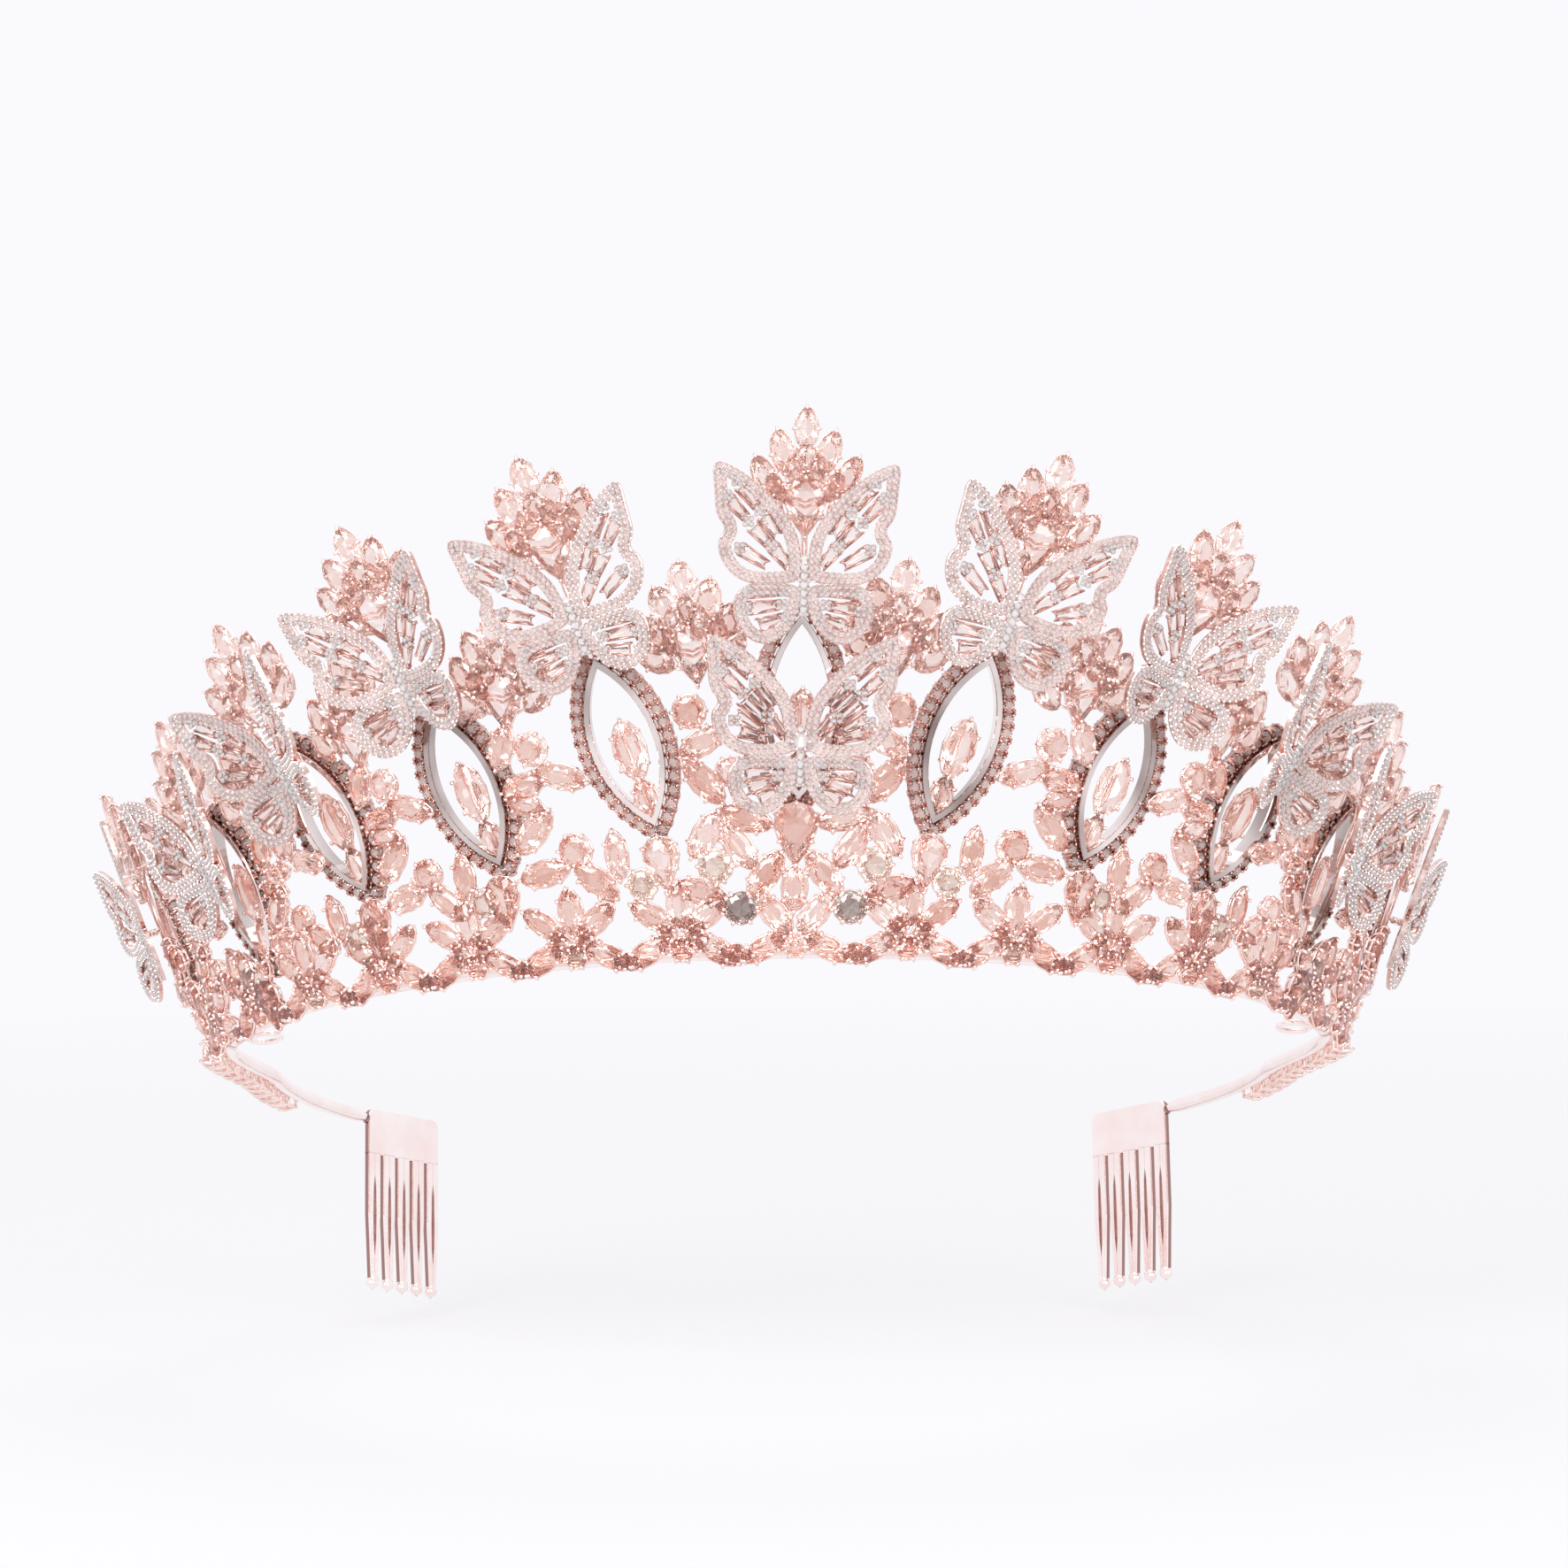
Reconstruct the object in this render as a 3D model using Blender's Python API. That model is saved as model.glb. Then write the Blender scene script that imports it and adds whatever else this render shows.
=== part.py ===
"""Bridal tiara: crown of looped spikes, leaf sprays and butterflies on a sprung band with two combs.

The crown is laid out on a flared surface. A place on it is a station (degrees round the band from the
front, growing to the viewer's right), a height (mm up the flare from the base) and a lift (mm outward).
"""
import math

import bmesh
import bpy
from mathutils import Matrix, Vector

MM = 0.001

# Crown surface
BASE_RADIUS = 75.5
FLARE = 20.9
WEARING_TILT = 16.0
GAP = 0.3

# Layers of the crown, measured outward from its surface
LOOP_DEPTH = 2.6
LOOP_LIFT = 0.2 - LOOP_DEPTH / 2
STONE_LIFT = 0.2 + GAP
STONE_DEPTH = 2.0
BUTTERFLY_LIFT = STONE_LIFT + STONE_DEPTH + GAP
WING_THICKNESS = 1.2

# Spikes from the centre outward: station, lean, loop bottom, loop top, tip
SPIKES = (
    (0.0, 1.4, 17.0, 45.0, 67.8),
    (8.3, 17.0, 15.2, 42.0, 65.8),
    (23.4, 17.5, 12.0, 38.0, 60.7),
    (37.9, 19.0, 11.6, 37.0, 52.9),
    (56.7, 9.1, 5.2, 31.0, 42.6),
    (79.6, 6.7, 5.2, 29.0, 40.5),
)
LOOP_HALF_WIDTH = 6.2
CHAIN_WIDTH = 2.0
STRIP_WIDTH = 0.7
STRIP_EXTRA_DEPTH = 0.5
BODY_BELOW_TIP = 20.7
LOW_BUTTERFLY_HEIGHT = 26.4
WING_DIHEDRAL = 7.9
LOW_WING_DIHEDRAL = 14.0
BODY_HEAD = 3.4
BODY_TAIL = -4.6
PEG_WIDTH = 1.4
PEG_LENGTH = 1.6
SPRAY_OVERLAP = 2.2

# Stones
MARQUISE = (6.0, 3.0)
PENDANT_MARQUISE = (8.0, 4.2)
PENDANT_DROP = (5.0, 3.0)
PEAR = (7.0, 4.7)
SMALL_ROUND = 3.2

# Gallery: flowers along the base, bays between neighbouring loops
FLOWER_PITCH = 10.0
FLOWER_COUNT = 7
FLOWER_RISE = 6.2
SIDE_PETAL_RISE = 4.2
RAIL_HEIGHT = 1.5
RAIL_SIZE = 1.4
BAY_EDGES = (11.45, 26.1, 40.0, 57.6, 74.5)
BAY_RISES = (1.0, 0.93, 0.76, 0.58)
BAY_TOPS = (0.81, 0.81, 0.62, 0.62)
MID_SPRAY_SCALE = 0.86
CENTRE_STALK_TOP = 31.2

# Band, end rows, eyelets and combs
TUBE_RADIUS = 0.95
TUBE_HEIGHT = 1.2
BAND_END = 74.0
ARM_END = 123.0
ARM_RADIUS = 68.6
END_ROW_START = 80.5
END_ROW_STONES = 10
END_STONE = 3.7
END_STONE_DEPTH = 3.4
EYELET_WIRE = 0.35
EYELET_LENGTH = 6.0
EYELET_WIDTH = 4.0
EYELET_SET_BACK = 2.6
COMB_WIDTH = 15.0
COMB_PLATE_HEIGHT = 6.5
COMB_LENGTH = 26.0
COMB_THICKNESS = 1.0
COMB_RISE = 0.3
COMB_TEETH = 5
TOOTH_WIDTH = 2.55
TOOTH_FOOT = 1.5
TOOTH_TIP = 2.2

COLOURS = {
    "metal": ((0.87, 0.66, 0.58, 1.0), 0.22, 1.0),
    "loop": ((0.80, 0.58, 0.50, 1.0), 0.25, 1.0),
    "stone": ((0.90, 0.62, 0.48, 1.0), 0.12, 0.0),
    "pave": ((0.88, 0.78, 0.74, 1.0), 0.18, 0.4),
}
TILT = Matrix.Rotation(math.radians(-WEARING_TILT), 4, "X")


def clear_scene():
    for item in list(bpy.data.objects):
        bpy.data.objects.remove(item, do_unlink=True)


def new_collection(name):
    group = bpy.data.collections.new(name)
    bpy.context.scene.collection.children.link(group)
    return group


def surface_axes(station, lean):
    """Across, along and outward unit directions at a station, leaning in the surface."""
    turn = math.radians(station)
    flare = math.radians(FLARE)
    tip = math.radians(lean)
    out_flat = Vector((math.sin(turn), -math.cos(turn), 0.0))
    round_band = Vector((math.cos(turn), math.sin(turn), 0.0))
    up = Vector((0.0, 0.0, math.cos(flare))) + out_flat * math.sin(flare)
    outward = out_flat * math.cos(flare) - Vector((0.0, 0.0, math.sin(flare)))
    along = up * math.cos(tip) + round_band * math.sin(tip)
    across = round_band * math.cos(tip) - up * math.sin(tip)
    return across, along, outward


def on_crown(station, height, lean=0.0, lift=0.0, turn=0.0):
    """Matrix (metres) of a place on the crown: x across, y along, z outward, turned in the surface."""
    across, along, outward = surface_axes(station, lean)
    foot = Vector((math.sin(math.radians(station)), -math.cos(math.radians(station)), 0.0)) * BASE_RADIUS
    spot = (foot + along * height + outward * lift) * MM
    frame = Matrix((across, along, outward)).transposed().to_4x4()
    return Matrix.Translation(spot) @ frame @ Matrix.Rotation(math.radians(turn), 4, "Z")


def on_band(station, radius, height):
    """Matrix (metres) of a place on the band: x round the band, y up, z outward."""
    turn = math.radians(station)
    out_flat = Vector((math.sin(turn), -math.cos(turn), 0.0))
    round_band = Vector((math.cos(turn), math.sin(turn), 0.0))
    frame = Matrix((round_band, Vector((0.0, 0.0, 1.0)), out_flat)).transposed().to_4x4()
    return Matrix.Translation((out_flat * radius + Vector((0.0, 0.0, height))) * MM) @ frame


def marquise_points(length, width, depth):
    half, side = length / 2, width / 2
    girdle = [(0, -half), (0, half)] + [(x * side, y * length * 0.16) for x in (-1, 1) for y in (-1, 1)]
    return [(x, y, depth * 0.5) for x, y in girdle] + [(0, 0, depth), (0, 0, 0)]


def pear_points(length, width, depth):
    half, side = length / 2, width / 2
    girdle = [(0, -half), (0, half)]
    for x in (-1, 1):
        girdle += [(x * side * 0.62, -length * 0.14), (x * side, length * 0.14)]
        girdle += [(x * side * 0.72, length * 0.38)]
    points = [(x, y, depth * 0.55) for x, y in girdle]
    points += [(0, -length * 0.18, depth)]
    points += [(-side * 0.45, length * 0.22, depth), (side * 0.45, length * 0.22, depth)]
    points += [(0, -length * 0.12, 0), (0, length * 0.18, 0)]
    return points


def round_points(size, depth):
    angles = [math.radians(a) for a in range(0, 360, 60)]
    ring = [(math.cos(a) * size / 2, math.sin(a) * size / 2) for a in angles]
    points = [(x, y, depth * 0.55) for x, y in ring]
    points += [(x * 0.5, y * 0.5, depth) for x, y in ring[::2]]
    return points + [(0, 0, 0)]


def bar_points(first, second, size, low, high):
    """Corners of a square bar between two flat places, from the low to the high level."""
    run = Vector(second) - Vector(first)
    side = Vector((-run.y, run.x)).normalized() * (size / 2)
    corners = [Vector(first) + side, Vector(first) - side, Vector(second) + side, Vector(second) - side]
    return [(c.x, c.y, level) for c in corners for level in (low, high)]


def prism_points(outline, low, high):
    return [(x, y, level) for x, y in outline for level in (low, high)]


def add_hull(bm, points, matrix=None):
    """Adds the closed convex body round some points (mm), carried by a matrix in metres."""
    place = matrix if matrix is not None else Matrix.Identity(4)
    verts = [bm.verts.new(place @ (Vector(p) * MM)) for p in points]
    made = bmesh.ops.convex_hull(bm, input=verts)
    faces = [item for item in made["geom"] if isinstance(item, bmesh.types.BMFace)]
    bmesh.ops.recalc_face_normals(bm, faces=faces)
    loose = [v for v in verts if v.is_valid and not v.link_faces]
    bmesh.ops.delete(bm, geom=loose, context="VERTS")


def hull_mesh(name, points, matrix=None):
    bm = bmesh.new()
    add_hull(bm, points, matrix)
    mesh = bpy.data.meshes.new(name)
    bm.to_mesh(mesh)
    bm.free()
    return mesh


def curve_mesh(name, curve):
    """Closed mesh of a curve, welded where its caps meet its sides."""
    holder = bpy.data.objects.new(name, curve)
    bpy.context.scene.collection.objects.link(holder)
    bpy.context.view_layer.update()
    mesh = bpy.data.meshes.new_from_object(holder.evaluated_get(bpy.context.evaluated_depsgraph_get()))
    bpy.data.objects.remove(holder, do_unlink=True)
    bm = bmesh.new()
    bm.from_mesh(mesh)
    bmesh.ops.remove_doubles(bm, verts=bm.verts, dist=1e-6)
    bmesh.ops.recalc_face_normals(bm, faces=bm.faces)
    bm.to_mesh(mesh)
    bm.free()
    return mesh


def plate_mesh(name, outlines, thickness):
    """Flat plate with holes: the first outline is the edge, the others are openings."""
    curve = bpy.data.curves.new(name, "CURVE")
    curve.dimensions = "2D"
    curve.fill_mode = "BOTH"
    curve.extrude = thickness * MM / 2
    for outline in outlines:
        spline = curve.splines.new("POLY")
        spline.points.add(len(outline) - 1)
        spline.use_cyclic_u = True
        for point, (x, y) in zip(spline.points, outline):
            point.co = (x * MM, y * MM, 0.0, 1.0)
    return curve_mesh(name, curve)


def wire_mesh(name, path, radius, cyclic=False, sides=2):
    curve = bpy.data.curves.new(name, "CURVE")
    curve.dimensions = "3D"
    curve.bevel_depth = radius * MM
    curve.bevel_resolution = sides
    curve.use_fill_caps = not cyclic
    spline = curve.splines.new("POLY")
    spline.points.add(len(path) - 1)
    spline.use_cyclic_u = cyclic
    for point, place in zip(spline.points, path):
        point.co = (place[0] * MM, place[1] * MM, place[2] * MM, 1.0)
    return curve_mesh(name, curve)


def moved(mesh, matrix):
    mesh.transform(matrix)
    return mesh


def flipped(mesh):
    """Mirror copy of a mesh, left for right."""
    copy = moved(mesh.copy(), Matrix.Diagonal((-1.0, 1.0, 1.0, 1.0)))
    copy.flip_normals()
    return copy


def union(base, tool, solver):
    """Mesh of the base joined with the tool; both are used up."""
    holders = [bpy.data.objects.new("union_piece", mesh) for mesh in (base, tool)]
    for holder in holders:
        bpy.context.scene.collection.objects.link(holder)
    step = holders[0].modifiers.new("union", "BOOLEAN")
    step.operation = "UNION"
    step.solver = solver
    step.object = holders[1]
    bpy.context.view_layer.update()
    mesh = bpy.data.meshes.new_from_object(holders[0].evaluated_get(bpy.context.evaluated_depsgraph_get()))
    for holder, spent in zip(holders, (base, tool)):
        bpy.data.objects.remove(holder, do_unlink=True)
        bpy.data.meshes.remove(spent)
    return mesh


def fused(name, meshes, solver="EXACT"):
    """One closed body from overlapping closed bodies, joined one after another."""
    mesh = meshes[0]
    for other in meshes[1:]:
        mesh = union(mesh, other, solver)
    bm = bmesh.new()
    bm.from_mesh(mesh)
    bmesh.ops.remove_doubles(bm, verts=bm.verts, dist=3e-7)
    bmesh.ops.dissolve_degenerate(bm, dist=3e-7, edges=bm.edges)
    bm.to_mesh(mesh)
    bm.free()
    return mesh


def materials():
    made = {}
    for name, (colour, roughness, metallic) in COLOURS.items():
        material = bpy.data.materials.new(name)
        material.use_nodes = True
        shader = material.node_tree.nodes["Principled BSDF"]
        shader.inputs["Base Color"].default_value = colour
        shader.inputs["Roughness"].default_value = roughness
        shader.inputs["Metallic"].default_value = metallic
        made[name] = material
    return made


def put(group, name, mesh, material, matrix=None, smooth=False):
    """Adds a finished part, placed on the crown and carried by the wearing tilt."""
    mesh.name = name
    mesh.materials.clear()
    mesh.materials.append(material.copy())
    mesh.materials[0].name = name
    for face in mesh.polygons:
        face.use_smooth = smooth
    part = bpy.data.objects.new(name, mesh)
    group.objects.link(part)
    part.matrix_world = TILT @ matrix if matrix is not None else TILT
    return part


def pointed_oval(half_length, half_width, steps=7):
    """Outline of two equal arcs that meet in points at the top and the bottom."""
    radius = (half_length ** 2 + half_width ** 2) / (2 * half_width)
    reach = math.asin(half_length / radius)
    outline = []
    for side in (1, -1):
        for step in range(steps):
            angle = -reach + 2 * reach * step / steps
            across = radius * math.cos(angle) - radius + half_width
            outline.append((side * across, side * radius * math.sin(angle)))
    return outline


def inset_oval(half_length, half_width, inset):
    """Half length and half width of the same oval with its edge moved in."""
    radius = (half_length ** 2 + half_width ** 2) / (2 * half_width)
    centre = radius - half_width
    return math.sqrt((radius - inset) ** 2 - centre ** 2), half_width - inset


def pendant_heights(bottom, top):
    """Heights above the loop's bottom of the drop and the marquise that stand in it."""
    half = (top - bottom) / 2
    drop = half - inset_oval(half, LOOP_HALF_WIDTH, CHAIN_WIDTH + STRIP_WIDTH)[0] + PENDANT_DROP[0] * 0.42
    return drop, drop + PENDANT_DROP[0] * 0.45 + PENDANT_MARQUISE[0] * 0.42


def loop_mesh(name, bottom, top):
    """Strip loop edged with cup chain, with pendant stones in its lower half and its middle at the origin."""
    half = (top - bottom) / 2
    chain_in = inset_oval(half, LOOP_HALF_WIDTH, CHAIN_WIDTH)
    strip_out = inset_oval(half, LOOP_HALF_WIDTH, CHAIN_WIDTH - 0.2)
    strip_in = inset_oval(half, LOOP_HALF_WIDTH, CHAIN_WIDTH + STRIP_WIDTH)
    chain_depth = LOOP_DEPTH - STRIP_EXTRA_DEPTH
    chain = [pointed_oval(half, LOOP_HALF_WIDTH), pointed_oval(*chain_in)[::-1]]
    bodies = [plate_mesh(name, chain, chain_depth)]
    bodies.append(plate_mesh(name, [pointed_oval(*strip_out), pointed_oval(*strip_in)[::-1]], LOOP_DEPTH))
    for size, height in zip((PENDANT_DROP, PENDANT_MARQUISE), pendant_heights(bottom, top)):
        place = Matrix.Translation((0.0, (height - half) * MM, -STONE_DEPTH * MM / 2))
        bodies.append(hull_mesh(name, marquise_points(*size, STONE_DEPTH), place))
    return fused(name, bodies, "MANIFOLD")


# Leaves of a spray below its tip: across, height, turn
SPRAY_LEAVES = ((0.0, -3.2, 0.0), (2.8, -6.1, -26.0), (4.6, -8.8, -48.0), (4.4, -11.9, -72.0))
SPRAY_LEAF_LENGTH = 6.6
SPRAY_PEAR_BELOW_TIP = 12.2
STEM_WIDTH = 1.4
STEM_DEPTH = 0.9


def spray_mesh(name, scale, foot):
    """Leaf spray, its tip at the origin: pear, leaves each side and a stem from the foot to the top leaf."""
    pear = Matrix.Translation((0.0, -SPRAY_PEAR_BELOW_TIP * scale * MM, 0.0))
    stem_top = (SPRAY_LEAVES[0][1] - 0.8) * scale
    leaf = marquise_points(SPRAY_LEAF_LENGTH * scale, MARQUISE[1] * scale, STONE_DEPTH * 0.94)
    bodies = [hull_mesh(name, pear_points(PEAR[0] * scale, PEAR[1] * scale, STONE_DEPTH), pear)]
    bodies.append(hull_mesh(name, bar_points((0.0, foot), (0.0, stem_top), STEM_WIDTH, 0.02, STEM_DEPTH)))
    for x, y, turn in SPRAY_LEAVES:
        for side in ((1, -1) if x else (1,)):
            place = Matrix.Translation((side * x * scale * MM, y * scale * MM, 0.0))
            bodies.append(hull_mesh(name, leaf, place @ Matrix.Rotation(math.radians(side * turn), 4, "Z")))
    return fused(name, bodies)


FOREWING = ((0.5, 1.6), (0.9, 5.7), (4.7, 10.1), (7.2, 12.5), (11.2, 13.8), (10.8, 7.2), (9.8, 5.7),
            (10.6, 4.4), (9.6, 1.5), (7.1, -0.3))
HINDWING = ((8.4, -2.4), (8.2, -5.2), (6.4, -7.4), (4.0, -8.0), (1.7, -6.2), (0.5, -3.2))
WING_OPENINGS = (
    ((2.3, 4.4), (3.6, 6.8), (8.6, 11.4), (6.0, 7.2)),
    ((2.4, 2.2), (9.4, 9.0), (8.4, 4.4), (7.6, 1.9)),
    ((2.0, -1.5), (6.9, -1.4), (6.4, -5.2), (3.6, -6.0)),
)


def butterfly_mesh(name, dihedral, peg_reach, peg_shift):
    """Butterfly with openwork wings, its body at the origin on a peg; the wings rise outward."""
    wing_outline = FOREWING + HINDWING
    wings = []
    for side in (1, -1):
        outlines = [[(side * x, y) for x, y in wing_outline]]
        outlines += [[(side * x, y) for x, y in opening] for opening in WING_OPENINGS]
        wing = plate_mesh(name, outlines, WING_THICKNESS)
        wings.append(moved(wing, Matrix.Rotation(math.radians(-side * dihedral), 4, "Y")))
    body = []
    sections = ((BODY_HEAD, 0.45, 0.5), (1.6, 1.05, 0.85), (-2.0, 1.05, 0.85), (BODY_TAIL, 0.4, 0.5))
    for y, half, level in sections:
        body += [(-half, y, 0.0), (half, y, 0.0), (0.0, y, level), (0.0, y, -WING_THICKNESS / 2)]
    half = PEG_LENGTH / 2
    ends = ((0.0, min(peg_shift, BODY_HEAD) - half), (0.0, max(peg_shift, BODY_TAIL) + half))
    peg = hull_mesh(name, bar_points(*ends, PEG_WIDTH, -WING_THICKNESS / 2 - peg_reach, 0.1))
    mesh = fused(name, [hull_mesh(name, body)] + wings + [peg])
    return moved(mesh, Matrix.Translation((0.0, 0.0, WING_THICKNESS * MM / 2)))


def spike_name(kind, index, side):
    if index == 0:
        return kind + "_centre"
    return "%s_%s_%d" % (kind, "right" if side > 0 else "left", index)


def build_spikes(group, paints):
    """Loops, leaf sprays and butterflies of the eleven spikes."""
    for index, (station, lean, bottom, top, tip) in enumerate(SPIKES):
        for side in ((1, -1) if index else (1,)):
            seat = (side * station, side * lean)
            name = spike_name("loop", index, side)
            place = on_crown(seat[0], (bottom + top) / 2, seat[1], LOOP_LIFT)
            put(group, name, loop_mesh(name, bottom, top), paints["loop"], place)
            name = spike_name("spray", index, side)
            place = on_crown(seat[0], tip, seat[1], STONE_LIFT)
            foot = min(top - SPRAY_OVERLAP - tip, -BODY_BELOW_TIP - PEG_LENGTH)
            put(group, name, spray_mesh(name, 1.0, foot), paints["stone"], place)
            name = spike_name("butterfly", index, side)
            place = on_crown(seat[0], tip - BODY_BELOW_TIP, seat[1], BUTTERFLY_LIFT)
            reach = BUTTERFLY_LIFT - STONE_LIFT - STEM_DEPTH - GAP
            put(group, name, butterfly_mesh(name, WING_DIHEDRAL, reach, 0.0), paints["pave"], place)
    name = "butterfly_low"
    place = on_crown(0.0, LOW_BUTTERFLY_HEIGHT, SPIKES[0][1], BUTTERFLY_LIFT)
    reach = BUTTERFLY_LIFT - (LOOP_LIFT + STONE_DEPTH / 2) - GAP
    shift = SPIKES[0][2] + pendant_heights(*SPIKES[0][2:4])[0] - LOW_BUTTERFLY_HEIGHT
    put(group, name, butterfly_mesh(name, LOW_WING_DIHEDRAL, reach, shift), paints["pave"], place)


# Knots of one bay: share of the way across, height, pull toward the stalk's top; then the marquises
# between them
BAY_KNOTS = {
    "base": (0.50, RAIL_HEIGHT, 0.0), "low": (0.20, 9.0, 0.0), "mid": (0.50, 14.6, 0.0),
    "side": (0.76, 11.3, 0.0), "neck": (0.62, 21.0, 0.5), "high": (0.83, 23.8, 0.9), "top": (0.81, 29.4, 1.0),
}
BAY_TIES = (("base", "low"), ("base", "side"), ("low", "mid"), ("side", "mid"), ("mid", "neck"),
            ("neck", "high"), ("high", "top"), ("side", "high"), ("pear", "low"))
BAY_ROUNDS = ("low", "mid", "neck")
# Marquises that carry the end loops: from a knot of the last bay to a round stone at a station and a height
END_TIES = (("side", (78.0, 10.0)), ("high", (77.3, 15.6)))
# Knots of half the centre bay: station, height; then its marquises
CENTRE_KNOTS = {
    "base": (0.0, RAIL_HEIGHT), "fan": (0.0, 11.6), "crest": (0.0, 18.6), "bead": (4.2, 6.8),
    "ring": (6.8, 12.1), "joint": (6.1, 17.6), "neck": (5.4, 23.4), "top": (8.3, CENTRE_STALK_TOP),
    "edge": (4.6, RAIL_HEIGHT),
}
CENTRE_TIES = (("base", "bead"), ("fan", "base"), ("fan", "bead"), ("crest", "joint"), ("joint", "ring"),
               ("joint", "neck"), ("neck", "top"), ("bead", "ring"), ("bead", "edge"))
CENTRE_ROUNDS = ("bead", "ring", "neck", "top")
TIE_REACH = 0.9


def tie_points(first, second):
    """Marquise between two knots (station, height), its tips a little past them, in the crown frame."""
    level = STONE_LIFT + STONE_DEPTH / 2
    a = on_crown(first[0], first[1], 0.0, level).translation / MM
    b = on_crown(second[0], second[1], 0.0, level).translation / MM
    run = (b - a).normalized()
    middle = (a + b) / 2
    outward = surface_axes((first[0] + second[0]) / 2, 0.0)[2]
    side = run.cross(outward).normalized() * (MARQUISE[1] / 2)
    rise = outward * (STONE_DEPTH * 0.46)
    ends = [a - run * TIE_REACH, b + run * TIE_REACH]
    return [tuple(p) for p in ends + [middle + side, middle - side, middle + rise, middle - rise]]


def flower_ties(station):
    """Fan of three marquises over a base flower."""
    half = FLOWER_PITCH / 2
    foot = (station, RAIL_HEIGHT)
    return [
        (foot, (station, RAIL_HEIGHT + FLOWER_RISE)),
        (foot, (station - half * 0.66, RAIL_HEIGHT + SIDE_PETAL_RISE)),
        (foot, (station + half * 0.66, RAIL_HEIGHT + SIDE_PETAL_RISE)),
    ]


def bay_knots(index):
    """Places of a bay's knots; the outer bays are lower and their stalks stand further in."""
    start, end = BAY_EDGES[index], BAY_EDGES[index + 1]
    shift = BAY_TOPS[index] - BAY_KNOTS["top"][0]
    knots = {}
    for name, (share, height, pull) in BAY_KNOTS.items():
        rise = RAIL_HEIGHT + (height - RAIL_HEIGHT) * BAY_RISES[index]
        knots[name] = (start + (end - start) * (share + shift * pull), rise)
    return knots


def bay_lattice(index):
    """Ties, round stones and the pear of one bay, which lies under its loop."""
    pear = (BAY_EDGES[index], SPIKES[index + 1][2] - PEAR[0] * 0.36)
    knots = bay_knots(index)
    knots["pear"] = (pear[0], pear[1] - PEAR[0] * 0.25)
    ties = [(knots[a], knots[b]) for a, b in BAY_TIES]
    rounds = [knots[name] for name in BAY_ROUNDS]
    if index == len(BAY_RISES) - 1:
        ties += [(knots[name], place) for name, place in END_TIES]
        rounds += [place for name, place in END_TIES]
    return ties, rounds, [pear]


def rail_mesh(name, start, end):
    """Base rail of a gallery panel: a square wire along the crown."""
    steps = max(3, round(abs(end - start) / 6))
    lift = STONE_LIFT + RAIL_SIZE / 2
    stations = [start + (end - start) * step / steps for step in range(steps + 1)]
    path = [tuple(on_crown(s, RAIL_HEIGHT, 0.0, lift).translation / MM) for s in stations]
    return wire_mesh(name, path, RAIL_SIZE / 2, sides=0)


def gallery_mesh(name, lattice, start, end):
    ties, rounds, pears = lattice
    bodies = [rail_mesh(name, start, end)]
    bodies += [hull_mesh(name, tie_points(first, second)) for first, second in ties]
    bead = round_points(SMALL_ROUND, STONE_DEPTH)
    bodies += [hull_mesh(name, bead, on_crown(s, h, 0.0, STONE_LIFT)) for s, h in rounds]
    drop = pear_points(*PEAR, STONE_DEPTH)
    bodies += [hull_mesh(name, drop, on_crown(s, h, 0.0, STONE_LIFT)) for s, h in pears]
    return fused(name, bodies, "MANIFOLD")


def mirrored(lattice):
    ties, rounds, pears = lattice
    turned = [tuple((-station, height) for station, height in tie) for tie in ties]
    return turned, [(-s, h) for s, h in rounds], [(-s, h) for s, h in pears]


def together(lattices):
    return tuple(sum((list(lattice[part]) for lattice in lattices), []) for part in range(3))


def build_gallery(group, paints):
    """Five gallery panels: the centre, then an inner and an outer one on each side."""
    ties = [(CENTRE_KNOTS[a], CENTRE_KNOTS[b]) for a, b in CENTRE_TIES]
    half = (ties, [CENTRE_KNOTS[name] for name in CENTRE_ROUNDS], [])
    middle = ([], [], [(0.0, CENTRE_KNOTS["crest"][1] - PEAR[0] * 0.42)])
    edge = CENTRE_KNOTS["edge"][0]
    lattice = together([middle, half, mirrored(half)])
    put(group, "gallery_centre", gallery_mesh("gallery_centre", lattice, -edge, edge), paints["stone"])
    flowers = [(flower_ties(FLOWER_PITCH * (index + 1)), [], []) for index in range(FLOWER_COUNT)]
    split = FLOWER_PITCH * 3.5
    spans = (
        ("inner", [bay_lattice(0), bay_lattice(1)] + flowers[:3], edge + 0.8, split - 0.4),
        ("outer", [bay_lattice(2), bay_lattice(3)] + flowers[3:], split + 0.4, BAND_END + 0.5),
    )
    for label, lattices, start, end in spans:
        name = "gallery_right_" + label
        panel = gallery_mesh(name, together(lattices), start, end)
        put(group, name, panel, paints["stone"])
        put(group, name.replace("right", "left"), flipped(panel), paints["stone"])


def build_mid_sprays(group, paints):
    """Smaller leaf sprays standing on the stalks between neighbouring spikes."""
    stalks = [(CENTRE_KNOTS["top"][0], CENTRE_STALK_TOP + SMALL_ROUND / 2)]
    tops = [bay_knots(index)["top"] for index in range(len(BAY_RISES))]
    stalks += [(station, height + TIE_REACH) for station, height in tops]
    foot = -(SPRAY_PEAR_BELOW_TIP + PEAR[0] / 2 + 0.6) * MID_SPRAY_SCALE
    for index, (station, height) in enumerate(stalks):
        for side in (1, -1):
            name = spike_name("mid_spray", index + 1, side)
            mesh = spray_mesh(name, MID_SPRAY_SCALE, foot)
            place = on_crown(side * station, height + GAP - foot, 0.0, STONE_LIFT)
            put(group, name, mesh, paints["stone"], place)


def band_radius():
    """Radius of the front band, close behind the gallery rail."""
    spot = on_crown(0.0, TUBE_HEIGHT, 0.0, STONE_LIFT - GAP - TUBE_RADIUS).translation
    return -spot.y / MM


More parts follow.
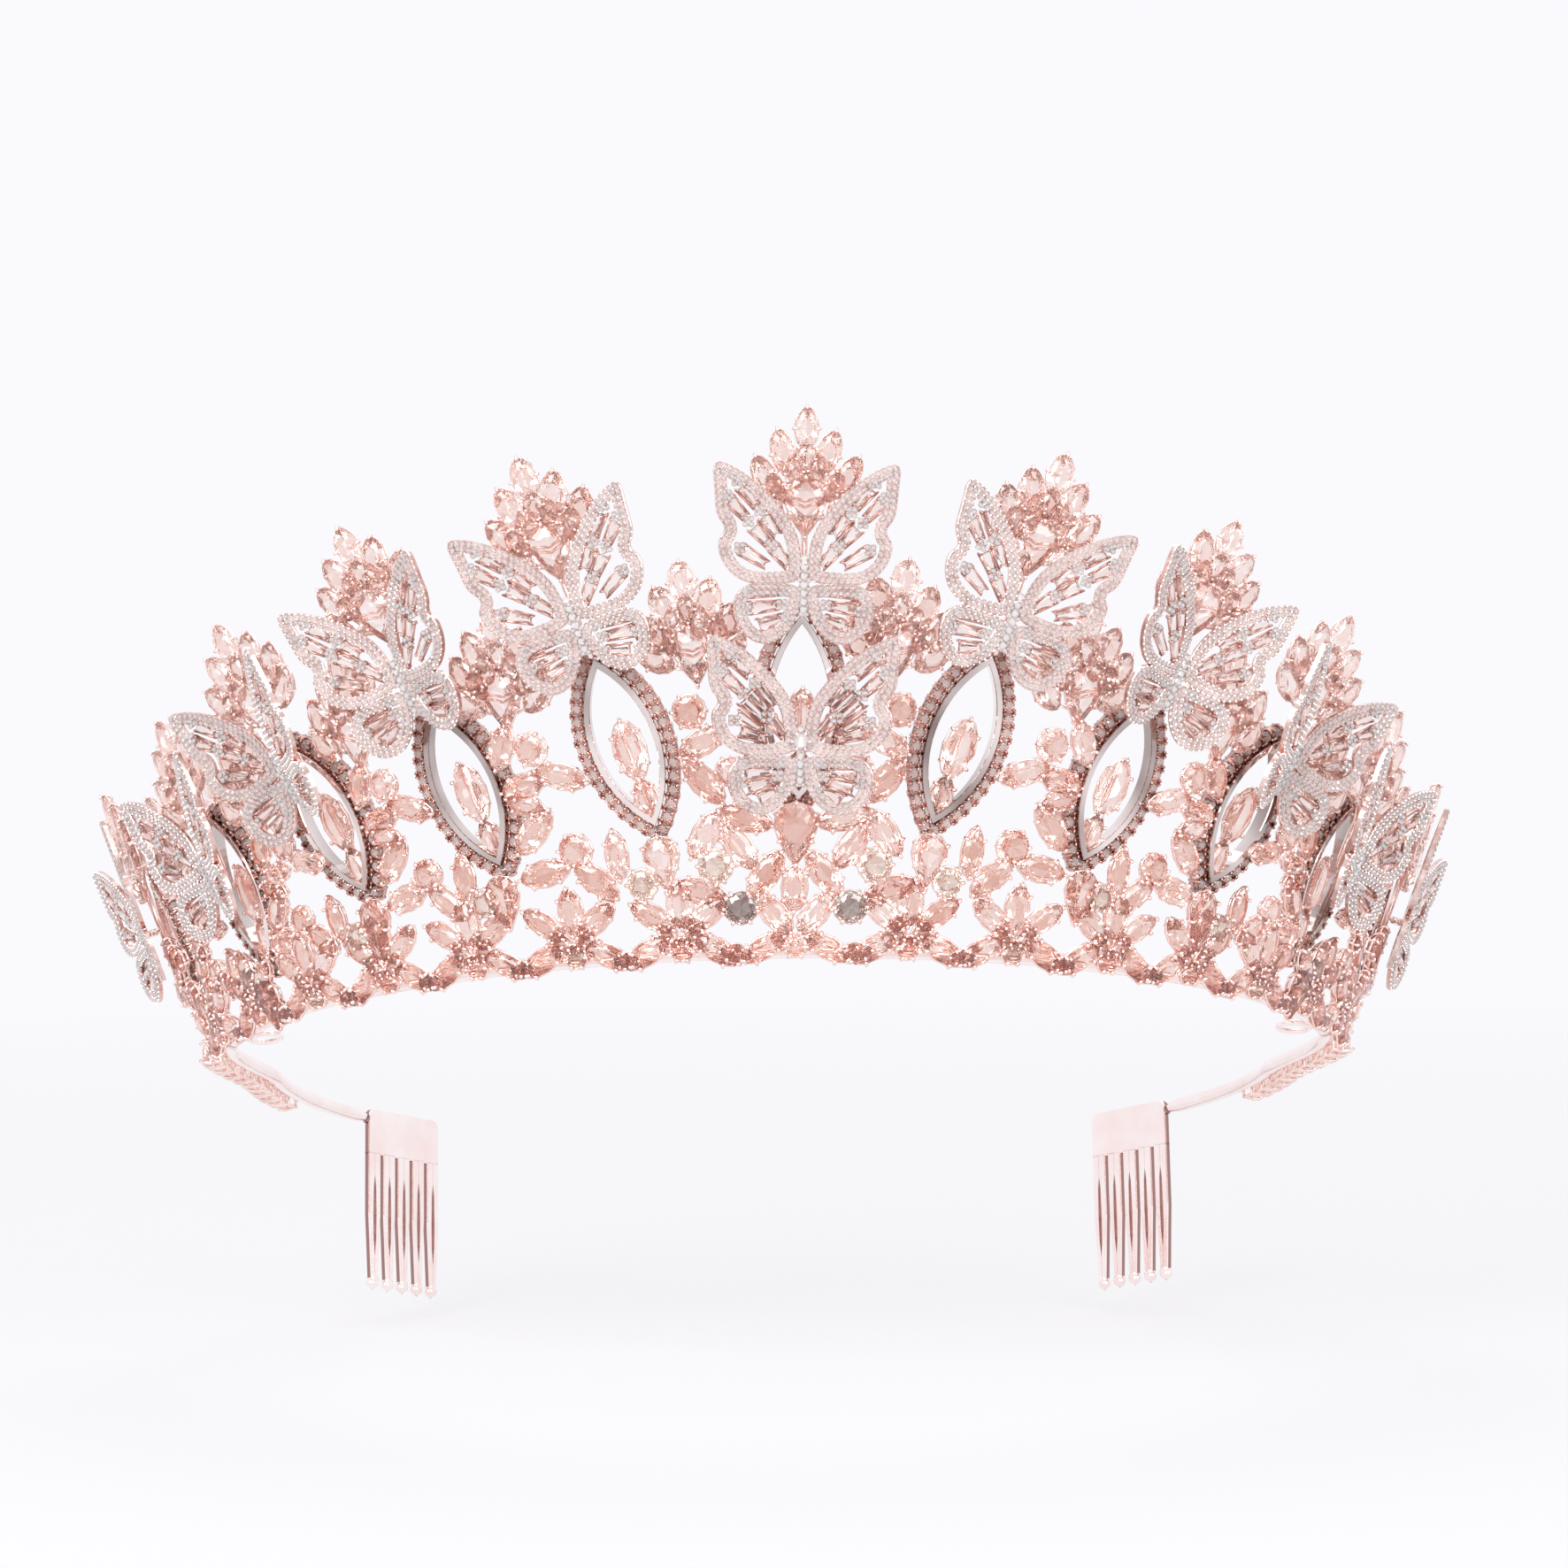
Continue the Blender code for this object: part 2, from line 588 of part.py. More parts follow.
def arm_radius(station):
    """The arms leave the crown's end and settle onto a smaller circle."""
    share = min(1.0, max(0.0, (station - BAND_END) / 22.0))
    ease = share * share * (3 - 2 * share)
    return band_radius() + (ARM_RADIUS - band_radius()) * ease


def band_point(station, radius):
    turn = math.radians(station)
    return (math.sin(turn) * radius, -math.cos(turn) * radius, TUBE_HEIGHT)


def on_arm(station):
    """Matrix (metres) of a place on an arm's centre line, x along the arm, y up, z outward; and its speed in
    mm per degree."""
    run = Vector(band_point(station + 0.5, arm_radius(station + 0.5)))
    run -= Vector(band_point(station - 0.5, arm_radius(station - 0.5)))
    up = Vector((0.0, 0.0, 1.0))
    along = run.normalized()
    frame = Matrix((along, up, along.cross(up))).transposed().to_4x4()
    return Matrix.Translation(Vector(band_point(station, arm_radius(station))) * MM) @ frame, run.length


def end_row_mesh(name, side):
    """Row of claw-set stones outside an arm, their cups joined at the foot."""
    bodies = []
    station = END_ROW_START
    foot, rim = END_STONE / 2 + 0.15, END_STONE / 2 - 0.2
    low = TUBE_RADIUS + GAP
    cup = [(x * foot, y * rim * 0.8, low) for x in (-1, 1) for y in (-1, 1)]
    cup += [(x * rim, y * rim, low + END_STONE_DEPTH) for x in (-1, 1) for y in (-1, 1)]
    flip = Matrix.Diagonal((side, 1.0, 1.0, 1.0))
    for index in range(END_ROW_STONES):
        place, speed = on_arm(station)
        bodies.append(hull_mesh(name, cup, flip @ place))
        station += END_STONE / speed
    return fused(name, bodies)


def comb_mesh(name):
    """Flat comb, its front top corner at the origin, running back along x and down along y."""
    pitch = (COMB_WIDTH - TOOTH_WIDTH) / (COMB_TEETH - 1)
    corner = 1.2
    outline = [(0.0, -corner), (corner * 0.3, -corner * 0.3), (corner, 0.0)]
    outline += [(COMB_WIDTH - corner, 0.0), (COMB_WIDTH - corner * 0.3, -corner * 0.3), (COMB_WIDTH, -corner)]
    for tooth in reversed(range(COMB_TEETH)):
        centre = TOOTH_WIDTH / 2 + tooth * pitch
        half, foot, ball = TOOTH_WIDTH / 2, TOOTH_FOOT / 2, TOOTH_TIP / 2
        low, waist = -COMB_LENGTH + ball, -COMB_LENGTH * 0.58
        outline += [(centre + half, -COMB_PLATE_HEIGHT), (centre + half, waist)]
        outline += [(centre + foot, low + ball * 0.9)]
        outline += [(centre + ball * math.cos(math.radians(a)), low + ball * math.sin(math.radians(a)))
                    for a in (15, -30, -75, -105, -150, -195)]
        outline += [(centre - foot, low + ball * 0.9)]
        outline += [(centre - half, waist), (centre - half, -COMB_PLATE_HEIGHT)]
        if tooth:
            outline.append((centre - pitch / 2, -COMB_PLATE_HEIGHT + 0.7))
    return plate_mesh(name, [outline[::-1]], COMB_THICKNESS)


def build_band(group, paints):
    """Front band, sprung arms, end rows, eyelets and combs."""
    radius = band_radius()
    steps = 28
    path = [band_point(-BAND_END + 2 * BAND_END * step / steps, radius) for step in range(steps + 1)]
    put(group, "front_band", wire_mesh("front_band", path, TUBE_RADIUS), paints["metal"], smooth=True)
    start = BAND_END + math.degrees(GAP / radius)
    for side, word in ((1, "right"), (-1, "left")):
        steps = 10
        stations = [start + (ARM_END - start) * step / steps for step in range(steps + 1)]
        root = Matrix.Translation(Vector(band_point(side * start, arm_radius(start))) * MM)
        arm = wire_mesh("arm", [band_point(side * s, arm_radius(s)) for s in stations], TUBE_RADIUS)
        put(group, "arm_" + word, moved(arm, root.inverted()), paints["metal"], root, smooth=True)
        name = "end_row_" + word
        put(group, name, end_row_mesh(name, side), paints["stone"])
        comb_start = ARM_END + math.degrees(GAP / ARM_RADIUS)
        mid = comb_start + math.degrees(COMB_WIDTH / 2 / ARM_RADIUS)
        sag = ARM_RADIUS * (1 - math.cos(math.radians(mid - comb_start)))
        place = on_band(side * mid, ARM_RADIUS - sag, TUBE_HEIGHT + TUBE_RADIUS + COMB_RISE)
        shift = Matrix.Translation((-COMB_WIDTH * MM / 2, 0.0, 0.0))
        comb = moved(comb_mesh("comb"), shift)
        put(group, "comb_" + word, comb, paints["metal"], place, smooth=False)
        angles = [math.tau * step / 12 for step in range(12)]
        ring = [(math.cos(a) * EYELET_LENGTH / 2, math.sin(a) * EYELET_WIDTH / 2, 0.0) for a in angles]
        inward = radius - TUBE_RADIUS - GAP - EYELET_WIDTH / 2 - EYELET_WIRE
        place = on_band(side * (BAND_END - EYELET_SET_BACK), inward, TUBE_HEIGHT)
        place = place @ Matrix.Rotation(math.radians(90), 4, "X")
        eyelet = wire_mesh("eyelet", ring, EYELET_WIRE, True, 1)
        put(group, "eyelet_" + word, eyelet, paints["metal"], place, smooth=True)


def build():
    clear_scene()
    group = new_collection("bridal_tiara")
    paints = materials()
    build_band(group, paints)
    build_gallery(group, paints)
    build_mid_sprays(group, paints)
    build_spikes(group, paints)
    for material in paints.values():
        bpy.data.materials.remove(material)


build()
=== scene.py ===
"""Bridal tiara: claw-set stones, cup-chain loops, pave butterflies, a sprung band and two combs."""
import math

import bmesh
import bpy
import numpy as np
from mathutils import Matrix


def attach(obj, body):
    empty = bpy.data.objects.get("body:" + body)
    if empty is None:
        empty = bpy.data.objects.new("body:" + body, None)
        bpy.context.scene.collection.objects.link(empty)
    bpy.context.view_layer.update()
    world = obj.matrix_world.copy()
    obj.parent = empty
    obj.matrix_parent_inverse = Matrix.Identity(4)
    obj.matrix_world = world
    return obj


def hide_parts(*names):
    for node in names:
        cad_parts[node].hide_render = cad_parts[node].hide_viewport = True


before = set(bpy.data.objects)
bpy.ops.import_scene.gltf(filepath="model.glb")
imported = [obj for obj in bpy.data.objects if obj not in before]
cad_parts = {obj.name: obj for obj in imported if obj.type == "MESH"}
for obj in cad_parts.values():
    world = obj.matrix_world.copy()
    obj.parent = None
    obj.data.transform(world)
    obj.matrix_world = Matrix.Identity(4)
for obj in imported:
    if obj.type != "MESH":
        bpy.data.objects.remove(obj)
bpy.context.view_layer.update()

MM = 0.001
BASE_RADIUS = 75.5
FLARE = 20.9
WEARING_TILT = 16.0
GAP = 0.3
LOOP_LIFT = -1.1
STONE_LIFT = 0.5
STONE_DEPTH = 2.0
BUTTERFLY_LIFT = 2.8
WING_THICKNESS = 1.2
RAIL_HEIGHT = 1.5

# Spikes: station, lean, loop bottom, loop top, tip
SPIKES = ((0.0, 1.4, 17.0, 45.0, 67.8), (8.3, 17.0, 15.2, 42.0, 65.8), (23.4, 17.5, 12.0, 38.0, 60.7),
          (37.9, 19.0, 11.6, 37.0, 52.9), (56.7, 9.1, 5.2, 31.0, 42.6), (79.6, 6.7, 5.2, 29.0, 40.5))
LOOP_HALF_WIDTH = 6.2
CHAIN_WIDTH = 2.0
STRIP_WIDTH = 0.7
BODY_BELOW_TIP = 20.7
LOW_BUTTERFLY_HEIGHT = 26.4
WING_DIHEDRAL = 7.9
LOW_WING_DIHEDRAL = 14.0
# Further rise of the wing toward the front, spike by spike
INNER_WING_RAISES = (0.0, 0.0, 17.0, 26.0, 12.0, 0.0)
BAY_EDGES = (11.45, 26.1, 40.0, 57.6, 74.5)
BAY_RISES = (1.0, 0.93, 0.76, 0.58)
BAY_TOPS = (0.81, 0.81, 0.62, 0.62)
FLOWER_PITCH = 10.0
FLOWER_COUNT = 7
MID_SPRAYS = ((8.3, 31.2 + 1.6), (23.3, 30.3), (37.4, 28.35), (50.9, 23.6), (68.1, 18.6))
MID_SPRAY_SCALE = 0.86
MID_SPRAY_FULL = 0.97
TUBE_RADIUS = 0.95
TUBE_HEIGHT = 1.2
BAND_RADIUS = 75.23
BAND_END = 74.0
ARM_END = 123.0
ARM_RADIUS = 68.6
END_ROW_START = 80.5
END_ROW_STONES = 10
END_STONE = 3.7
COMB_WIDTH = 15.0
COMB_PLATE_HEIGHT = 6.5
COMB_LENGTH = 26.0
COMB_TEETH = 5
TOOTH_WIDTH = 2.55
COMB_FACE = 0.45
COMB_CUT = 0.3
COMB_BEVEL = 0.14
# One tooth: height, share of its full width, depth of its crease
TOOTH_SECTIONS = ((-6.3, 1.0, 0.0), (-9.4, 1.0, 0.0), (-11.0, 1.0, 0.3), (-15.1, 1.0, 0.42), (-18.6, 0.83, 0.34),
                  (-21.2, 0.72, 0.0), (-24.3, 0.58, 0.0))

world_turn = np.array(Matrix.Rotation(math.radians(-WEARING_TILT), 4, "X"))


# ---- places on the crown, 4x4 matrices in millimetres ----

def unit(v):
    v = np.asarray(v, float)
    return v / np.linalg.norm(v)


def axes_at(across, along, outward, spot):
    m = np.eye(4)
    m[:3, 0], m[:3, 1], m[:3, 2], m[:3, 3] = across, along, outward, spot
    return m


def shift(x, y, z=0.0, turn=0.0):
    """Moves by x, y, z after a turn about z, clockwise from the front for a positive angle."""
    c, s = math.cos(math.radians(-turn)), math.sin(math.radians(-turn))
    m = np.eye(4)
    m[:2, :2] = ((c, -s), (s, c))
    m[:3, 3] = (x, y, z)
    return m


def on_crown(station, height, lean=0.0, lift=0.0, turn=0.0):
    """x across, y up the flare, z outward."""
    angle, flare, tip = math.radians(station), math.radians(FLARE), math.radians(lean)
    out_flat = np.array((math.sin(angle), -math.cos(angle), 0.0))
    round_band = np.array((math.cos(angle), math.sin(angle), 0.0))
    up = np.array((0.0, 0.0, math.cos(flare))) + out_flat * math.sin(flare)
    outward = out_flat * math.cos(flare) - np.array((0.0, 0.0, math.sin(flare)))
    along = up * math.cos(tip) + round_band * math.sin(tip)
    across = round_band * math.cos(tip) - up * math.sin(tip)
    spot = out_flat * BASE_RADIUS + along * height + outward * lift
    return axes_at(across, along, outward, spot) @ shift(0, 0, 0, turn)


def on_band(station, radius, height):
    """x round the band, y up, z outward."""
    angle = math.radians(station)
    out_flat = np.array((math.sin(angle), -math.cos(angle), 0.0))
    return axes_at((math.cos(angle), math.sin(angle), 0.0), (0.0, 0.0, 1.0), out_flat,
                   out_flat * radius + np.array((0.0, 0.0, height)))


def arm_radius(station):
    share = min(1.0, max(0.0, (station - BAND_END) / 22.0))
    return BAND_RADIUS + (ARM_RADIUS - BAND_RADIUS) * share * share * (3 - 2 * share)


def band_point(station, radius, height=TUBE_HEIGHT):
    angle = math.radians(station)
    return np.array((math.sin(angle) * radius, -math.cos(angle) * radius, height))


# ---- shapes: vertices in millimetres, faces, smooth flag ----

def make(verts, faces, smooth=False):
    sizes = np.array([len(f) for f in faces], int)
    loops = np.array([i for f in faces for i in f], int)
    return {"v": np.asarray(verts, float), "l": loops, "s": sizes, "m": np.full(len(faces), smooth),
            "f": np.zeros(len(faces)), "t": np.zeros(len(faces))}


def join(shapes):
    out, base = {k: [] for k in "vlsmft"}, 0
    for s in shapes:
        for k in "vsmft":
            out[k].append(s[k])
        out["l"].append(s["l"] + base)
        base += len(s["v"])
    return {k: np.concatenate(v) for k, v in out.items()}


def placed(s, matrix, tone=None):
    out = dict(s)
    out["v"] = s["v"] @ matrix[:3, :3].T + matrix[:3, 3]
    if np.linalg.det(matrix[:3, :3]) < 0:
        starts = np.concatenate(([0], np.cumsum(s["s"])))
        out["l"] = np.concatenate([s["l"][a:b][::-1] for a, b in zip(starts[:-1], starts[1:])])
    if tone is not None:
        out["t"] = np.full(len(s["s"]), tone)
    return out


# Random tones per facet; on the stones they paint sparkle, as painted glints and dark facets.
def painted_sparkle_tones(s, seed):
    out = dict(s)
    out["f"] = np.random.default_rng(seed).random(len(s["s"]))
    return out


def hull(points, seed=1):
    bm = bmesh.new()
    for p in points:
        bm.verts.new(p)
    bmesh.ops.convex_hull(bm, input=bm.verts[:])
    bmesh.ops.dissolve_limit(bm, angle_limit=0.03, verts=bm.verts[:], edges=bm.edges[:])
    bmesh.ops.delete(bm, geom=[v for v in bm.verts if not v.link_faces], context="VERTS")
    bm.verts.index_update()
    s = make([v.co[:] for v in bm.verts], [[v.index for v in f.verts] for f in bm.faces])
    bm.free()
    return painted_sparkle_tones(s, seed)


def tube(path, radii, sides=6, closed=False, up=(0.0, 0.0, 1.0), flat=1.0, domed=True):
    """Round wire along a path; flat squeezes it along the second axis of its section."""
    path = np.asarray(path, float)
    n = len(path)
    radii = np.broadcast_to(np.asarray(radii, float), (n,))
    nxt = np.roll(path, -1, 0) if closed else np.vstack((path[1:], path[-1:]))
    prv = np.roll(path, 1, 0) if closed else np.vstack((path[:1], path[:-1]))
    run = nxt - prv
    run /= np.linalg.norm(run, axis=1)[:, None]
    side = np.cross(run, np.broadcast_to(up, run.shape))
    side /= np.linalg.norm(side, axis=1)[:, None]
    other = np.cross(side, run)
    angles = 2 * math.pi * np.arange(sides) / sides
    ring = (np.cos(angles)[None, :, None] * side[:, None] + flat * np.sin(angles)[None, :, None] * other[:, None])
    verts = list((path[:, None] + ring * radii[:, None, None]).reshape(-1, 3))
    faces = []
    for i in range(n if closed else n - 1):
        j = (i + 1) % n
        for k in range(sides):
            m = (k + 1) % sides
            faces.append((i * sides + k, i * sides + m, j * sides + m, j * sides + k)[::-1])
    if not closed:
        bulge = 0.7 if domed else 0.0
        for end, sign, order in ((0, -1, 1), (n - 1, 1, -1)):
            verts.append(path[end] + sign * run[end] * radii[end] * bulge)
            tip = len(verts) - 1
            for k in range(sides):
                tri = (end * sides + k, end * sides + (k + 1) % sides, tip)
                faces.append(tri[::-1] if order > 0 else tri)
                faces[-1] = faces[-1][::-1]
    return make(verts, faces, True)


def band_of(rings, closed=True, smooth=False):
    """Skin over rings of points that all run the same way round; each ring is one line along the shape."""
    count, n = len(rings), len(rings[0])
    verts = [p for ring in rings for p in ring]
    faces = []
    for i in range(count):
        j = (i + 1) % count
        for k in range(n if closed else n - 1):
            m = (k + 1) % n
            faces.append((i * n + k, i * n + m, j * n + m, j * n + k))
    if not closed:
        faces.append(tuple(i * n for i in range(count)))
        faces.append(tuple(i * n + n - 1 for i in range(count))[::-1])
    return make(verts, faces, smooth)


# ---- outlines, counter-clockwise seen from the front ----

def pointed_oval(half_length, half_width, steps=6):
    radius = (half_length ** 2 + half_width ** 2) / (2 * half_width)
    reach = math.asin(min(1.0, half_length / radius))
    line = []
    for side in (1, -1):
        for step in range(steps):
            a = -reach + 2 * reach * step / steps
            line.append((side * (radius * math.cos(a) - radius + half_width), side * radius * math.sin(a)))
    return np.array(line)


def inset_oval(half_length, half_width, inset):
    radius = (half_length ** 2 + half_width ** 2) / (2 * half_width)
    centre = radius - half_width
    return math.sqrt((radius - inset) ** 2 - centre ** 2), half_width - inset


def marquise_line(length, width):
    """Fuller than two plain arcs, as cut stones are."""
    a = 2 * math.pi * np.arange(12) / 12 - math.pi / 2
    x = np.cos(a) * width / 2
    y = np.sin(a)
    return np.stack((np.sign(x) * np.abs(np.cos(a)) ** 1.25 * width / 2, np.sign(y) * np.abs(y) ** 0.95 * length / 2), 1)


def pear_line(length, width):
    t = 2 * math.pi * np.arange(14) / 14
    x = np.sin(t) * np.sin(t / 2) ** 1.15
    fine = np.linspace(0, math.pi, 200)
    x *= width / 2 / (np.sin(fine) * np.sin(fine / 2) ** 1.15).max()
    return np.stack((x, -length / 2 * np.cos(t)), 1)


def round_line(size, count=12):
    a = 2 * math.pi * np.arange(count) / count
    return np.stack((np.cos(a), np.sin(a)), 1) * size / 2


def baguette_line(length, wide, narrow):
    half = length / 2
    return np.array(((narrow / 2, -half), (wide / 2, half), (-wide / 2, half), (-narrow / 2, -half)))


# ---- cut stones and their settings ----

def level(line, scale, z):
    return [(x * scale, y * scale, z) for x, y in line]


def cut_stone(line, crown, depth, keel, table=0.56, seed=1):
    mids = (line + np.roll(line, -1, 0)) / 2
    points = level(line, 1.0, 0.0) + level(line, 1.0, -0.12) + level(mids, 0.86, crown * 0.55)
    points += level(line, table, crown) + level(mids, 0.56, -depth * 0.64)
    points += [(x, y, -depth) for x, y in keel]
    return hull(points, seed)


def normals_of(line):
    run = np.roll(line, -1, 0) - np.roll(line, 1, 0)
    out = np.stack((run[:, 1], -run[:, 0]), 1)
    return out / np.linalg.norm(out, axis=1)[:, None]


def claw(spot, out, depth, radius=0.25, top=0.4, inset=0.26, sides=6):
    x, y = spot
    nx, ny = out
    path = ((x * 0.74, y * 0.74, -depth), (x + nx * 0.04, y + ny * 0.04, -0.42), (x + nx * 0.14, y + ny * 0.14, 0.04),
            (x - nx * inset * 0.25, y - ny * inset * 0.25, top * 0.85), (x - nx * inset, y - ny * inset, top))
    radii = np.array((0.75, 0.85, 1.0, 1.08, 0.8)) * radius
    return tube(path, radii, sides, up=(-ny, nx, 0.0))


def setting(line, depth, claws, wire=0.17, radius=0.25):
    """Open basket: two rails and claws that end in small beads over the stone's edge."""
    out = normals_of(line)
    parts = [tube(level(line, 0.78, -depth + 0.16), wire * 1.15, 5, True),
             tube(level(line, 0.985, -0.4), wire, 5, True)]
    parts += [claw(line[i], out[i], depth, radius) for i in claws]
    return join(parts)


class Gem:
    """A stone and its setting, made once and set down many times."""

    def __init__(self, line, crown, depth, keel, claws, seed, table=0.56, radius=0.25, wire=0.17):
        self.stone = cut_stone(line, crown, depth, keel, table, seed)
        self.mount = setting(line, depth, claws, wire, radius)


def marquise_gem(length, width, seed):
    return Gem(marquise_line(length, width), 0.5, 1.25, ((0, -length * 0.2), (0, length * 0.2)), (0, 2, 4, 6, 8, 10), seed,
               radius=0.25 if length > 4.2 else 0.2)


def leaf_gem(length, width, seed):
    """Marquise of a spray, held by three fine claws."""
    return Gem(marquise_line(length, width), 0.5, 1.25, ((0, -length * 0.2), (0, length * 0.2)), (3, 6, 9), seed, radius=0.2, wire=0.1)


def pear_gem(length, width, seed):
    return Gem(pear_line(length, width), 0.56, 1.3, ((0, length * 0.16), (0, -length * 0.14)), (0, 3, 5, 7, 9, 11), seed,
               radius=0.26)


def round_gem(size, seed):
    return Gem(round_line(size), 0.52, 1.25, ((0.1, 0), (-0.1, 0), (0, 0.1), (0, -0.1)), range(0, 12, 2), seed,
               radius=0.25 if size > 2.6 else 0.2)


gems = {}


def gem(kind, length, width=None):
    """Gems are kept by kind and size, to the tenth of a millimetre."""
    key = (kind, round(length, 1), round(width or 0, 1))
    if key not in gems:
        seed = 11 + len(gems)
        gems[key] = {"m": marquise_gem, "l": leaf_gem, "p": pear_gem}[kind](key[1], key[2], seed) if width else round_gem(key[1], seed)
    return gems[key]


class Work:
    """One CAD node's visual pieces: a pile of shapes for each material."""

    def __init__(self, node, body, seed):
        self.node, self.body, self.piles = node, body, {}
        self.dice = np.random.default_rng(seed)

    def add(self, pile, s, matrix=None, tone=None):
        self.piles.setdefault(pile, []).append(placed(s, np.eye(4) if matrix is None else matrix, tone))

    def set_gem(self, kind, length, width, matrix, stone="stones", metal="claws", tones=(0.0, 1.0)):
        """The stone's tone is drawn from a range, in which 0 is deep and 1 is pale."""
        g = gem(kind, length, width)
        self.add(stone, g.stone, matrix, self.dice.uniform(*tones))
        self.add(metal, g.mount, matrix)


works = []


def work_for(node, body="crown"):
    works.append(Work(node, body, len(works) + 5))
    return works[-1]


def spike_name(kind, index, side):
    return kind + "_centre" if index == 0 else "%s_%s_%d" % (kind, "right" if side > 0 else "left", index)


GIRDLE = STONE_LIFT + 1.42


# ---- loops: polished strip, cup chain, pendant stones ----

def even_steps(line, pitch):
    """Points and directions spaced evenly round a closed outline."""
    closed = np.vstack((line, line[:1]))
    run = np.diff(closed, axis=0)
    far = np.concatenate(([0], np.cumsum(np.linalg.norm(run, axis=1))))
    count = max(3, round(far[-1] / pitch))
    at = (np.arange(count) + 0.5) * far[-1] / count
    spots = np.stack([np.interp(at, far, closed[:, i]) for i in (0, 1)], 1)
    index = np.clip(np.searchsorted(far, at) - 1, 0, len(run) - 1)
    return spots, run[index] / np.linalg.norm(run[index], axis=1)[:, None]


def chain_cup():
    """Square claw cup of cup chain, its stone's table facing z."""
    half = 0.86
    parts = []
    low = [(x * half * 0.8, y * half * 0.8, -1.0) for x, y in ((1, 1), (-1, 1), (-1, -1), (1, -1))]
    high = [(x * half, y * half * 0.94, -0.1) for x, y in ((1, 1), (-1, 1), (-1, -1), (1, -1))]
    parts.append(hull(low + high))
    for x in (1, -1):
        for y in (1, -1):
            path = ((x * 0.66, y * 0.66, -0.95), (x * 0.78, y * 0.74, 0.1), (x * 0.66, y * 0.62, 0.72), (x * 0.46, y * 0.44, 0.92))
            parts.append(tube(path, (0.2, 0.24, 0.24, 0.17), 5, up=(-y, x, 0)))
    line = round_line(1.56, 8)
    mids = (line + np.roll(line, -1, 0)) / 2
    stone = hull(level(line, 1.0, 0.42) + level(line, 0.98, -0.12) + level(mids, 0.84, 0.68) + level(line, 0.5, 0.86), 3)
    return join(parts), stone


def pendant_heights(bottom, top):
    half = (top - bottom) / 2
    drop = half - inset_oval(half, LOOP_HALF_WIDTH, CHAIN_WIDTH + STRIP_WIDTH)[0] + 2.1
    return drop, drop + 6.3


CUP, CUP_STONE = chain_cup()


def dress_loop(work, place, bottom, top):
    half = (top - bottom) / 2
    section = ((1.86, -0.68), (1.94, -0.8), (2.56, -0.8), (2.64, -0.68), (2.64, 1.18), (2.56, 1.3), (1.94, 1.3), (1.86, 1.18))
    rings = []
    for inset, z in section:
        line = pointed_oval(*inset_oval(half, LOOP_HALF_WIDTH, inset), 22)
        rings.append([(x, y, z) for x, y in line])
    work.add("strip", band_of(rings[::-1]), place)
    chain = pointed_oval(*inset_oval(half, LOOP_HALF_WIDTH, 0.95), 24)
    spots, runs = even_steps(chain, 1.72)
    for (x, y), (rx, ry) in zip(spots, runs):
        at = place @ axes_at((rx, ry, 0.0), (-ry, rx, 0.0), (0.0, 0.0, 1.0), (x, y, 0.0))
        work.add("chain", CUP, at)
        work.add("chain_stones", CUP_STONE, at, work.dice.random())
    drop, leaf = pendant_heights(bottom, top)
    work.set_gem("m", 5.4, 3.0, place @ shift(0, drop - half, 0.45), tones=(0.0, 0.3))
    work.set_gem("m", 7.9, 4.1, place @ shift(0.15, leaf - half, 0.45, 2), tones=(0.0, 0.2))
    work.add("claws", tube([(0, drop - half - 3.2, -0.75), (0, leaf - half + 3.6, -0.75)], 0.26, 6), place)


# ---- leaf sprays ----

# Leaves below the tip: across, height, turn, length, width
LEAVES = ((0.0, -2.95, 0, 5.4, 3.0), (2.75, -5.9, 20, 5.9, 3.0), (4.85, -8.8, 27, 5.9, 3.0), (4.75, -12.0, 46, 5.6, 2.9),
          (1.5, -8.1, 8, 4.4, 2.4), (3.3, -10.1, 30, 4.2, 2.3))


# Leaf widths of the side sprays and of the small sprays, as shares of the centre spray's
SIDE_FULLNESS = 1.12
MID_FULLNESS = 1.2


def dress_spray(work, place, scale, foot, jitter, fullness=1.0):
    at = place @ shift(0, 0, GIRDLE - STONE_LIFT)
    dice = np.random.default_rng(jitter)
    low = -0.9
    work.add("claws", tube([(0, foot, low), (0, -14 * scale, low)], 0.42, 8), at)
    for x, y, turn, length, width in LEAVES:
        for side in ((1, -1) if x else (1,)):
            wander = dice.uniform(-1, 1, 3) if x else np.zeros(3)
            spot = shift(side * x * scale + 0.15 * wander[0], (y + 0.2 * wander[1]) * scale,
                         (-0.1 if length > 5 else -0.28) + 0.08 * wander[2], side * turn + 5 * wander[2])
            work.set_gem("l", length * scale, width * scale * fullness, at @ spot, tones=(0.4, 1.0))
            foot_x, foot_y = np.array((side * x, y)) * scale - np.array(
                (side * math.sin(math.radians(turn)), math.cos(math.radians(turn)))) * length * 0.36 * scale
            if x > 2:
                work.add("claws", tube([(0, foot_y - 1.0, low), (foot_x, foot_y, low)], 0.18, 6), at)
    work.set_gem("l", 4.0 * scale, 2.5 * scale, at @ shift(0, -6.6 * scale, -0.2), tones=(0.4, 1.0))
    work.set_gem("p", 7.4 * scale, 5.1 * scale, at @ shift(0, -12.4 * scale, 0.14), tones=(0.4, 1.0))


# ---- butterflies ----

FOREWING = ((0.35, 1.4), (0.85, 5.2), (2.9, 8.3), (5.4, 10.9), (8.2, 13.0), (11.5, 14.3), (11.1, 10.2), (10.9, 7.4),
            (9.5, 5.75), (10.8, 4.3), (9.9, 1.2), (7.3, -0.75), (4.0, -0.95), (0.6, -0.55))
HINDWING = ((0.3, -1.1), (3.2, -0.7), (6.7, -0.65), (8.7, -2.4), (8.4, -5.4), (6.6, -7.7), (4.0, -8.2), (1.5, -6.4), (0.3, -3.4))
